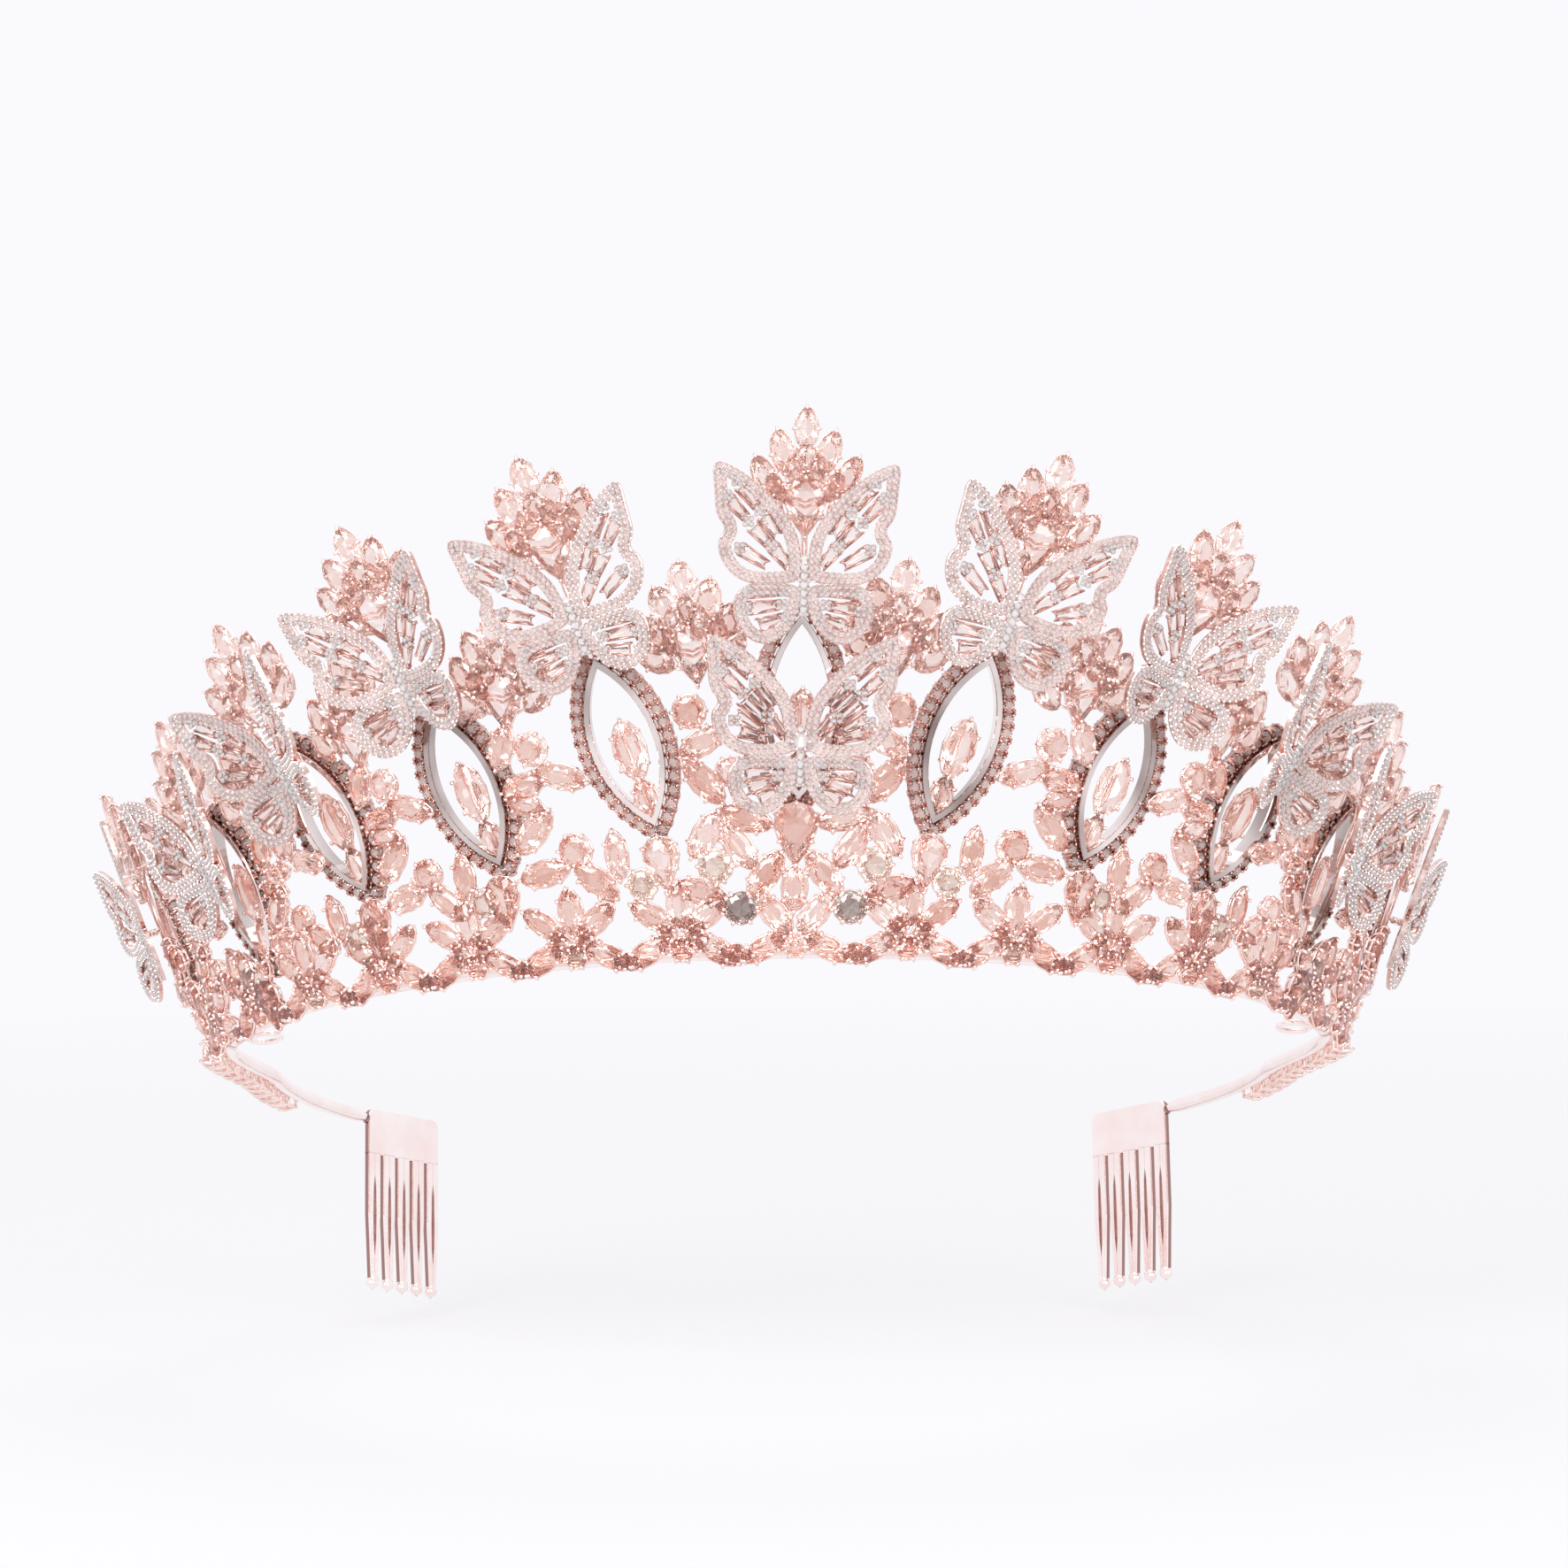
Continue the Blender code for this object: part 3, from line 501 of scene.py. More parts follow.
# Tapered baguettes: outer end, inner end
BAGUETTES = (((7.9, 10.8), (6.1, 8.65)), ((5.1, 7.25), (3.5, 5.15)), ((9.25, 9.2), (7.45, 7.35)), ((6.3, 5.95), (4.6, 4.15)),
             ((3.75, 3.45), (2.05, 1.45)), ((7.6, 3.25), (4.8, 1.55)), ((6.3, -1.75), (3.1, -1.65)), ((6.5, -3.75), (3.3, -3.4)),
             ((5.4, -5.8), (2.8, -5.0)))
LOW_BAGUETTES = (((8.3, 11.0), (6.3, 9.0)), ((5.2, 7.6), (3.2, 5.2)), ((6.2, 7.0), (3.9, 4.4)), ((9.2, 8.9), (7.4, 7.2)),
                 ((6.9, 5.9), (4.5, 3.6)), ((3.6, 3.6), (2.0, 1.6)), ((7.7, 4.0), (4.9, 2.3)), ((7.2, 2.2), (4.2, 1.3)),
                 ((6.3, -1.6), (3.1, -1.5)), ((6.6, -3.0), (3.3, -2.8)), ((6.2, -4.7), (3.2, -3.9)), ((4.9, -6.1), (2.6, -4.9)))
CLUSTERS = ((5.58, 7.95), (6.95, 6.7), (4.15, 3.85), (8.4, 11.55), (9.7, 9.8), (7.95, 3.5), (6.8, -1.8), (7.0, -3.95), (2.7, -3.3),
            (2.5, -1.7), (2.2, -5.1))
RIM_WIDTH = 1.5


def rounded(points, times=3):
    """Outline with its corners cut until it is smooth."""
    line = np.array(points, float)
    for _ in range(times):
        nxt = np.roll(line, -1, 0)
        line = np.stack((line * 0.75 + nxt * 0.25, line * 0.25 + nxt * 0.75), 1).reshape(-1, 2)
    return line


def inward(line, amount):
    """Outline moved in; the wings run clockwise or counter-clockwise."""
    area = np.sum(line[:, 0] * np.roll(line[:, 1], -1) - np.roll(line[:, 0], -1) * line[:, 1])
    return line - normals_of(line) * amount * (1 if area > 0 else -1)


def row_inside(edge, amount, pitch):
    """Even places along the outline moved in, without those that a tight corner folds back."""
    spots, runs = even_steps(inward(edge, amount), pitch)
    near = np.linalg.norm(spots[:, None] - edge[None], axis=2).min(1)
    keep = near > amount * 0.9
    return spots[keep], runs[keep]


def pave_stone(size):
    line = round_line(size, 7)
    return hull(level(line, 1.0, 0.0) + level(line, 0.92, 0.1) + level(line, 0.52, 0.26), 5)


PAVE = pave_stone(0.74)
BIG_PAVE = pave_stone(1.05)
BEAD = hull([(0.15, 0, 0), (-0.15, 0, 0), (0, 0.15, 0), (0, -0.15, 0), (0.1, 0.1, 0.12), (-0.1, 0.1, 0.12), (0.1, -0.1, 0.12),
             (-0.1, -0.1, 0.12), (0, 0, 0.2)])


def baguette(length, wide, narrow):
    line = baguette_line(length, wide, narrow)
    stone = hull(level(line, 1.0, 0.06) + level(line, 1.0, -0.06) + [(x * 0.82, y * 0.93, 0.2) for x, y in line]
                 + [(x * 0.5, y * 0.84, 0.3) for x, y in line] + [(0, length * 0.36, -0.34), (0, -length * 0.36, -0.34)], 7)
    bars = []
    for side in (1, -1):
        bars.append(tube([(side * (narrow / 2 + 0.08), -length / 2 - 0.3, 0), (side * (wide / 2 + 0.08), length / 2 + 0.3, 0)], 0.13, 5))
        for end, half in ((-length / 2, narrow / 2), (length / 2, wide / 2)):
            bars.append(tube([(side * (half + 0.05), end, -0.25), (side * (half + 0.02), end, 0.16), (side * (half - 0.16), end * 0.96, 0.32)],
                             (0.16, 0.2, 0.17), 5))
    return stone, join(bars)


def wing_shapes(bars, dice):
    """One right-hand wing, flat: metal, pave and baguettes."""
    metal, bed, bars_of, pave, clear = [], [], [], [], []
    for outline in (FOREWING, HINDWING):
        edge = rounded(outline)
        section = ((0.0, -0.35), (0.0, 0.16), (0.1, 0.24), (RIM_WIDTH - 0.1, 0.24), (RIM_WIDTH, 0.16), (RIM_WIDTH, -0.35))
        bed.append(band_of([[(x, y, z) for x, y in inward(edge, inset)] for inset, z in section[::-1]]))
        for inset in (0.4, 1.12):
            spots, runs = row_inside(edge, inset, 0.78)
            for (x, y), (rx, ry) in zip(spots, runs):
                pave.append(placed(PAVE, axes_at((rx, ry, 0), (-ry, rx, 0), (0, 0, 1), (x, y, 0.22)), dice.random()))
        for inset in (0.08, 0.76, 1.44):
            spots, runs = row_inside(edge, inset, 0.78)
            for (x, y), (rx, ry) in zip(spots + runs * 0.4, runs):
                metal.append(placed(BEAD, shift(x, y, 0.22)))
    for outer, inner in bars:
        outer, inner = np.array(outer), np.array(inner)
        run = outer - inner
        length = np.linalg.norm(run)
        stone, frame_bars = baguette(length, 1.45, 0.95)
        at = axes_at((run[1] / length, -run[0] / length, 0), (run[0] / length, run[1] / length, 0), (0, 0, 1),
                     (*(outer + inner) / 2, 0.0))
        clear.append(placed(stone, at, dice.random()))
        bars_of.append(placed(frame_bars, at))
    for x, y in CLUSTERS:
        bed.append(hull([(x + dx * 0.62, y + dy * 0.62, z) for dx in (-1, 1) for dy in (-1, 1) for z in (-0.25, 0.1)]))
        for dx, dy in ((0.36, 0.36), (-0.36, 0.36), (-0.36, -0.36), (0.36, -0.36)):
            pave.append(placed(PAVE, shift(x + dx, y + dy, 0.14), dice.random()))
    return {"pave_metal": join(metal), "pave_bed": join(bed), "pave_bars": join(bars_of), "pave": join(pave), "baguettes": join(clear)}


wing_dice = np.random.default_rng(77)
WINGS = {False: wing_shapes(BAGUETTES, wing_dice), True: wing_shapes(LOW_BAGUETTES, wing_dice)}


def dress_butterfly(work, place, dihedrals, low, peg_reach, peg_shift):
    """Wings rise outward from the body by the dihedrals of the right and the left one."""
    at = place @ shift(0, 0, WING_THICKNESS / 2)
    for side, dihedral in zip((1, -1), dihedrals):
        turn = math.radians(-side * dihedral)
        wing = np.eye(4)
        wing[0, 0], wing[0, 2], wing[2, 0], wing[2, 2] = math.cos(turn), math.sin(turn), -math.sin(turn), math.cos(turn)
        for pile, s in WINGS[low].items():
            moved = placed(s, np.diag((side * (1.06 if low else 1.0), 1.0, 1.0, 1.0)))
            work.add(pile, dict(moved, t=s["t"]), at @ wing)
    work.piles["pave"] = [dict(s) for s in work.piles["pave"]]
    spine = [(0, -4.6, -0.1), (0, -3.0, -0.02), (0, 0, 0.05), (0, 1.6, 0.0), (0, 2.7, -0.1)]
    work.add("pave_metal", tube(spine, (0.25, 0.5, 0.62, 0.5, 0.25), 8, flat=0.6), at)
    for y, z in ((2.3, 0.4), (1.25, 0.52), (0.2, 0.6), (-0.85, 0.6), (-1.9, 0.55), (-2.9, 0.48), (-3.9, 0.36)):
        if low and abs(y - 0.4) < 1.2:
            continue
        work.add("pave", BIG_PAVE, at @ shift(0, y, z - 0.12), work.dice.random())
        for x in (-0.52, 0.52):
            work.add("pave", PAVE, at @ shift(x * (1.0 if y > -3 else 0.7), y - 0.5, z - 0.3), work.dice.random())
    if low:
        work.set_gem("r", 2.3, None, at @ shift(0, 0.9, 0.55), "pave", "pave_metal")
    work.add("pave_metal", tube([(0, peg_shift, -0.4), (0, peg_shift, -WING_THICKNESS / 2 - peg_reach + 0.05)], 0.5, 8, up=(1, 0, 0)), at)


# ---- gallery ----

# Marquises of half the centre: station, height, turn, length, width
CENTRE_LEAVES = ((4.05, 17.8, 74, 6.1, 2.9), (4.75, 14.4, 34, 6.1, 2.9), (7.6, 15.9, -32, 6.0, 2.8), (2.5, 10.9, -35, 6.0, 2.9),
                 (8.3, 9.0, 74, 5.9, 2.8), (1.8, 6.0, 41, 5.6, 2.7), (2.9, 1.75, -60, 5.4, 2.5), (5.3, 1.25, 85, 3.8, 2.0),
                 (7.45, 27.2, -58, 5.8, 2.8), (7.45, 22.3, 42, 6.1, 2.9))
CENTRE_ROUNDS = ((6.85, 12.0, 3.8, "clear"), (4.75, 6.8, 3.7, "smoky"), (5.2, 23.5, 3.3, "stones"), (8.25, 31.0, 3.7, "stones"))
# Marquises and rounds of one bay: share of the way across, then as above
BAY_LEAVES = ((0.263, 13.9, 3, 5.6, 2.6), (0.401, 10.9, 49, 6.0, 2.9), (0.711, 12.4, -80, 6.0, 2.9), (0.533, 24.1, 73, 6.1, 2.8),
              (0.765, 23.4, -80, 5.2, 2.7), (0.741, 17.7, -42, 6.3, 3.0), (0.767, 21.0, 66, 4.6, 2.5), (0.865, 28.4, -20, 5.2, 2.8))
BAY_ROUNDS = ((0.129, 10.2, 3.4, "clear"), (0.512, 14.9, 3.8, "stones"), (0.685, 27.8, 3.7, "stones"))
# One base flower: station from its middle, height, turn, length, width
FLOWER = ((0.0, 7.4, 3, 5.3, 2.9), (-2.35, 6.1, -52, 5.7, 2.6), (2.5, 6.1, 54, 5.6, 2.6), (-3.15, 1.7, 58, 5.7, 2.6),
          (3.25, 1.7, -60, 6.0, 2.6), (-1.05, 3.7, -38, 3.2, 1.8), (1.05, 3.7, 38, 3.2, 1.8))
END_LEAVES = ((77.0, 9.0, 70, 5.2, 2.7), (76.3, 14.2, 62, 5.2, 2.7), (75.6, 4.6, 50, 5.2, 2.6),
              (74.4, 7.6, 15, 5.0, 2.6), (77.5, 12.9, -12, 4.8, 2.5))
END_ROUNDS = ((79.2, 10.2, 3.2, "stones"), (78.3, 15.8, 3.2, "stones"))


# Share by which the settings make each gallery stone look larger than its bare stone
GALLERY_FULLNESS = 1.13


def gallery_plan():
    """Every stone of the right half and the middle: kind, station, height, turn, length, width, colour."""
    plan = [("p", 0.0, 15.7, 0, 7.0, 4.7, "stones"), ("m", 0.0, 9.1, 0, 5.2, 2.8, "stones"), ("r", 0.0, 2.0, 0, 2.6, None, "stones")]
    plan += [("m", *leaf, "stones") for leaf in CENTRE_LEAVES]
    plan += [("r", s, h, 0, size, None, colour) for s, h, size, colour in CENTRE_ROUNDS]
    for index in range(4):
        start, end = BAY_EDGES[index], BAY_EDGES[index + 1]

        def seat(share, height):
            pull = min(1.0, max(0.0, (height - 15.0) / 10.0)) * (BAY_TOPS[index] - BAY_TOPS[0])
            return start + (end - start) * (share + pull), RAIL_HEIGHT + (height - RAIL_HEIGHT) * BAY_RISES[index]

        squeeze = 0.5 + 0.5 * BAY_RISES[index]
        for share, height, turn, length, width in BAY_LEAVES:
            plan.append(("m", *seat(share, height), turn, length * squeeze, width * squeeze, "stones"))
        for share, height, size, colour in BAY_ROUNDS:
            plan.append(("r", *seat(share, height), 0, size * squeeze, None, colour))
        plan.append(("p", start, SPIKES[index + 1][2] - 2.6, 3, 6.0, 4.0, "stones"))
    for index in range(FLOWER_COUNT):
        middle = FLOWER_PITCH * (index + 1) + 0.15
        plan += [("m", middle + s, h, turn, length, width, "stones") for s, h, turn, length, width in FLOWER]
        plan.append(("r", middle, 1.75, 0, 2.5, None, "clear" if index % 3 == 1 else "stones"))
        plan.append(("m", middle + 5.15, 0.95, 88, 3.0, 1.7, "stones"))
    plan += [("m", *leaf, "stones") for leaf in END_LEAVES]
    plan += [("r", s, h, 0, size, None, colour) for s, h, size, colour in END_ROUNDS]
    return plan


def dress_gallery():
    split = FLOWER_PITCH * 3.5
    works_by = {}
    for word, side in (("right", 1), ("left", -1)):
        for label, start, end in (("inner", 5.4, split - 0.4), ("outer", split + 0.4, BAND_END + 0.5)):
            w = works_by[word, label] = work_for("gallery_%s_%s" % (word, label))
            stations = np.linspace(start, end, 12) * side
            w.add("claws", tube([on_crown(s, 1.2, 0, 0.95)[:3, 3] for s in stations], 0.42, 8))
    centre = work_for("gallery_centre")
    centre.add("claws", tube([on_crown(s, 1.2, 0, 0.95)[:3, 3] for s in np.linspace(-4.6, 4.6, 8)], 0.42, 8))
    dice = np.random.default_rng(21)
    for kind, station, height, turn, length, width, colour in gallery_plan():
        middle = kind != "r" and station == 0.0 or station == 0.0
        for side in ((1,) if middle else (1, -1)):
            inner = "inner" if station < split else "outer"
            w = centre if station < 9.0 and not (kind == "m" and station > 8.9) else works_by["right" if side > 0 else "left", inner]
            wander = dice.uniform(-1, 1, 3)
            place = on_crown(side * (station + 0.08 * wander[0]), height, 0, GIRDLE + 0.06 * wander[1], side * turn + 3.0 * wander[2])
            wide = width * GALLERY_FULLNESS if width else None
            w.set_gem(kind, length * GALLERY_FULLNESS, wide, place, colour, tones=(-0.7, 0.25))


# ---- band, arms, end rows, eyelets, combs ----

def dress_band():
    w = work_for("front_band")
    stations = np.linspace(-BAND_END, BAND_END, 130)
    w.add("polish", tube([band_point(s, BAND_RADIUS) for s in stations], TUBE_RADIUS, 18, domed=False))
    start = BAND_END + math.degrees(GAP / BAND_RADIUS)
    for side, word in ((1, "right"), (-1, "left")):
        body = word + "_arm"
        w = work_for("arm_" + word, body)
        stations = np.linspace(start, ARM_END, 70)
        radii = TUBE_RADIUS - 0.35 * np.clip((stations - ARM_END + 2.2) / 2.2, 0, 1)
        w.add("polish", tube([band_point(side * s, arm_radius(s)) for s in stations], radii, 20, domed=False))
        dress_end_row(work_for("end_row_" + word, body), side)
        dress_comb(work_for("comb_" + word, body), side)
        w = work_for("eyelet_" + word)
        ring = [(math.cos(a) * 3.0, math.sin(a) * 2.0, 0.0) for a in np.linspace(0, 2 * math.pi, 40, endpoint=False)]
        spot = on_band(side * (BAND_END - 2.6), BAND_RADIUS - TUBE_RADIUS - GAP - 2.35, TUBE_HEIGHT)
        flat = np.array(Matrix.Rotation(math.radians(90), 4, "X"))
        w.add("polish", tube(ring, 0.35, 10, True), spot @ flat)
        solder = [(-0.9, 2.4, 0.0), (0.0, 2.5, 0.0), (0.9, 2.4, 0.0)]
        w.add("polish", tube(solder, (0.2, 0.42, 0.2), 10), spot @ flat)


def dress_end_row(work, side):
    """Ten square claw baskets in a row outside the arm."""
    station = END_ROW_START
    line = np.array(((1, -1), (1, 1), (-1, 1), (-1, -1)), float)
    cut = round_line(3.1, 8) @ np.array(((math.cos(0.39), -math.sin(0.39)), (math.sin(0.39), math.cos(0.39))))
    stone = cut_stone(cut, 0.45, 1.3, ((0.1, 0.1), (-0.1, -0.1)), 0.6, 5)
    low = TUBE_RADIUS + GAP
    for index in range(END_ROW_STONES):
        run = band_point(station + 0.5, arm_radius(station + 0.5), 0) - band_point(station - 0.5, arm_radius(station - 0.5), 0)
        speed = np.linalg.norm(run)
        along = run / speed
        up = np.array((0.0, 0.0, 1.0))
        at = axes_at(along, up, np.cross(along, up), band_point(station, arm_radius(station)))
        at = np.diag((side, 1.0, 1.0, 1.0)) @ at
        if side < 0:
            at = at @ np.diag((-1.0, 1.0, 1.0, 1.0))
        foot, rim = 1.6, 1.5
        for z, half, wire in ((low + 0.2, foot * 0.9, 0.22), (low + 1.5, rim, 0.18)):
            square = [(x * half, y * half * 0.92, z) for x, y in ((1, -1), (1, -0.9), (1, 0.9), (1, 1), (0.9, 1), (-0.9, 1), (-1, 1), (-1, 0.9), (-1, -0.9), (-1, -1), (-0.9, -1), (0.9, -1))]
            work.add("claws", tube(square, wire, 6, True), at)
        for x, y in line:
            path = ((x * foot * 0.82, y * foot * 0.76, low + 0.1), (x * rim * 1.02, y * rim * 0.98, low + 1.6),
                    (x * rim * 0.98, y * rim * 0.94, low + 2.6), (x * rim * 0.74, y * rim * 0.72, low + 3.05))
            work.add("claws", tube(path, (0.26, 0.28, 0.3, 0.22), 6, up=(-y, x, 0)), at)
        work.add("stones", stone, at @ shift(0, 0, low + 2.35), work.dice.random())
        work.add("claws", tube([(-1.9, 0, low + 0.15), (1.9, 0, low + 0.15)], 0.32, 8, up=(0, 1, 0)), at)
        station += END_STONE / speed


def comb_tooth(x):
    """Flat tooth with a crease down its inner face; the cut sides and the crease have the facet tone 0, which takes a
    darker colour of painted shade.
    """
    verts = []
    for y, share, crease in TOOTH_SECTIONS:
        half = TOOTH_WIDTH / 2 * share
        flat = half - COMB_BEVEL
        groove = max(crease, 0.02) * 0.8
        section = ((-half, COMB_CUT), (-flat, COMB_FACE), (0.0, COMB_FACE + 0.02), (flat, COMB_FACE), (half, COMB_CUT),
                   (half, -COMB_CUT), (flat, -COMB_FACE), (groove, -COMB_FACE), (0.0, crease - COMB_FACE),
                   (-groove, -COMB_FACE), (-flat, -COMB_FACE), (-half, -COMB_CUT))
        verts += [(x + across, y, z) for across, z in section]
    count, rows = len(section), len(TOOTH_SECTIONS)
    faces, tones = [], []
    for i in range(rows - 1):
        for k in range(count):
            m = (k + 1) % count
            faces.append((i * count + k, (i + 1) * count + k, (i + 1) * count + m, i * count + m))
            tones.append(0.0 if k in (4, 7, 8, 11) else 1.0)
    last = (rows - 1) * count
    faces += [tuple(range(count)), tuple(range(last, last + count))[::-1]]
    return dict(make(verts, faces), f=np.array(tones + [1.0, 1.0]))


def comb_plate():
    """Plate with two rounded corners and a bevelled rim; its cut side has the facet tone 0, which takes a darker colour
    of painted shade.
    """
    half, low, r = COMB_WIDTH / 2, -COMB_PLATE_HEIGHT, 1.1
    line = []
    for x, y, start in ((half - r, -r, 0), (-half + r, -r, 90)):
        for angle in range(start, start + 91, 15):
            line.append((x + r * math.cos(math.radians(angle)), y + r * math.sin(math.radians(angle))))
    line = np.array(line + [(-half, low), (half, low)])
    middle = np.array((0.0, low / 2))
    verts = []
    for inset, z in ((COMB_BEVEL, -COMB_FACE), (0.0, -COMB_CUT), (0.0, COMB_CUT), (COMB_BEVEL, COMB_FACE)):
        scale = np.array((1 - inset / half, 1 - inset / (-low / 2)))
        verts += [(x, y, z) for x, y in (line - middle) * scale + middle]
    count = len(line)
    faces, tones = [], []
    for i in range(3):
        for k in range(count):
            m = (k + 1) % count
            faces.append((i * count + k, i * count + m, (i + 1) * count + m, (i + 1) * count + k))
            tones.append(0.0 if i == 1 else 1.0)
    faces += [tuple(range(count))[::-1], tuple(range(3 * count, 4 * count))]
    return dict(make(verts, faces), f=np.array(tones + [1.0, 1.0]))


def dress_comb(work, side):
    mid = ARM_END + math.degrees(GAP / ARM_RADIUS) + math.degrees(COMB_WIDTH / 2 / ARM_RADIUS)
    sag = ARM_RADIUS * (1 - math.cos(COMB_WIDTH / 2 / ARM_RADIUS))
    place = on_band(side * mid, ARM_RADIUS - sag, TUBE_HEIGHT + TUBE_RADIUS + 0.3)
    half = COMB_WIDTH / 2
    work.add("comb", comb_plate(), place)
    pitch = (COMB_WIDTH - TOOTH_WIDTH) / (COMB_TEETH - 1)
    for tooth in range(COMB_TEETH):
        x = -half + TOOTH_WIDTH / 2 + tooth * pitch
        work.add("comb", comb_tooth(x), place)
        tip = [(x, -24.1, 0), (x, -24.45, 0), (x, -24.95, 0), (x, -25.4, 0), (x, -25.7, 0)]
        work.add("polish", tube(tip, (0.62, 0.9, 1.03, 0.86, 0.4), 16, flat=0.8), place)
    joint = (-side * (half + 0.15), -1.4, 0.0)
    work.add("edge", tube([np.add(joint, (-0.5, 0, 0)), joint, np.add(joint, (0.5, 0, 0))], (0.35, 0.75, 0.35), 10), place)


# ---- materials ----

def nodes_of(name):
    material = bpy.data.materials.new(name)
    material.use_nodes = True
    tree = material.node_tree
    return material, tree, tree.nodes["Principled BSDF"]


def link(tree, a, b):
    tree.links.new(a, b)


def ramp_node(tree, source, stops):
    ramp = tree.nodes.new("ShaderNodeValToRGB")
    while len(ramp.color_ramp.elements) < len(stops):
        ramp.color_ramp.elements.new(0.5)
    for element, (at, colour) in zip(ramp.color_ramp.elements, stops):
        element.position, element.color = at, (*colour, 1.0)
    link(tree, source, ramp.inputs["Fac"])
    return ramp.outputs["Color"]


def noise_node(tree, scale, detail=3.0):
    coords = tree.nodes.new("ShaderNodeTexCoord")
    noise = tree.nodes.new("ShaderNodeTexNoise")
    noise.inputs["Scale"].default_value = scale
    noise.inputs["Detail"].default_value = detail
    link(tree, coords.outputs["Object"], noise.inputs["Vector"])
    return noise.outputs["Fac"]


def spread(tree, source, low, high):
    node = tree.nodes.new("ShaderNodeMapRange")
    node.inputs["From Min"].default_value = 0.3
    node.inputs["From Max"].default_value = 0.7
    node.inputs["To Min"].default_value = low
    node.inputs["To Max"].default_value = high
    link(tree, source, node.inputs["Value"])
    return node.outputs["Result"]


def srgb(r, g, b):
    return tuple((c / 255 / 12.92) if c / 255 <= 0.04045 else ((c / 255 + 0.055) / 1.055) ** 2.4 for c in (r, g, b))


def metal_paint(name, light, dark, low, high, grain=900.0, bump=0.02, cut=None):
    """Polished metal with patches of a light and a dark colour, faint on most metals; on the strip the dark patches are
    painted reflection. Faces of the facet tone 0 take the cut colour, if there is one, a darker colour of painted
    shade.
    """
    material, tree, shader = nodes_of(name)
    patches = noise_node(tree, grain * 0.35, 2.0)
    colour = ramp_node(tree, patches, ((0.3, dark), (0.62, light)))
    # The cut colour is painted shade: a darker colour on the comb's cut sides and down the crease of its teeth.
    if cut:
        mix = tree.nodes.new("ShaderNodeMix")
        mix.data_type = "RGBA"
        link(tree, attribute(tree, "facet_painted_light"), mix.inputs[0])
        mix.inputs[6].default_value = (*cut, 1.0)
        link(tree, colour, mix.inputs[7])
        colour = mix.outputs[2]
    link(tree, colour, shader.inputs["Base Color"])
    shader.inputs["Metallic"].default_value = 1.0
    fine = noise_node(tree, grain, 4.0)
    link(tree, spread(tree, fine, low, high), shader.inputs["Roughness"])
    lumps = tree.nodes.new("ShaderNodeBump")
    lumps.inputs["Strength"].default_value = bump
    lumps.inputs["Distance"].default_value = 0.0001
    link(tree, fine, lumps.inputs["Height"])
    link(tree, lumps.outputs["Normal"], shader.inputs["Normal"])
    return material


def attribute(tree, name):
    node = tree.nodes.new("ShaderNodeAttribute")
    node.attribute_name = name
    return node.outputs["Fac"]


def stone_paint(name, stops, clear, ior, by_painted_sparkle=0.45, by_stone=0.4):
    """Glassy stone: each facet has a random tone that paints sparkle as painted glints and dark facets, and each stone
    has its own tone, with soft clouds inside.
    """
    material, tree, shader = nodes_of(name)
    mix = tree.nodes.new("ShaderNodeMath")
    mix.operation = "MULTIPLY_ADD"
    link(tree, attribute(tree, "facet_painted_light"), mix.inputs[0])
    mix.inputs[1].default_value = by_painted_sparkle
    other = tree.nodes.new("ShaderNodeMath")
    other.operation = "MULTIPLY_ADD"
    link(tree, attribute(tree, "stone"), other.inputs[0])
    other.inputs[1].default_value = by_stone
    cloud = tree.nodes.new("ShaderNodeMath")
    cloud.operation = "MULTIPLY"
    link(tree, noise_node(tree, 420.0, 2.0), cloud.inputs[0])
    cloud.inputs[1].default_value = 0.15
    link(tree, cloud.outputs[0], other.inputs[2])
    link(tree, other.outputs[0], mix.inputs[2])
    link(tree, ramp_node(tree, mix.outputs[0], stops), shader.inputs["Base Color"])
    shader.inputs["Transmission Weight"].default_value = clear
    shader.inputs["IOR"].default_value = ior
    shader.inputs["Roughness"].default_value = 0.02
    return material


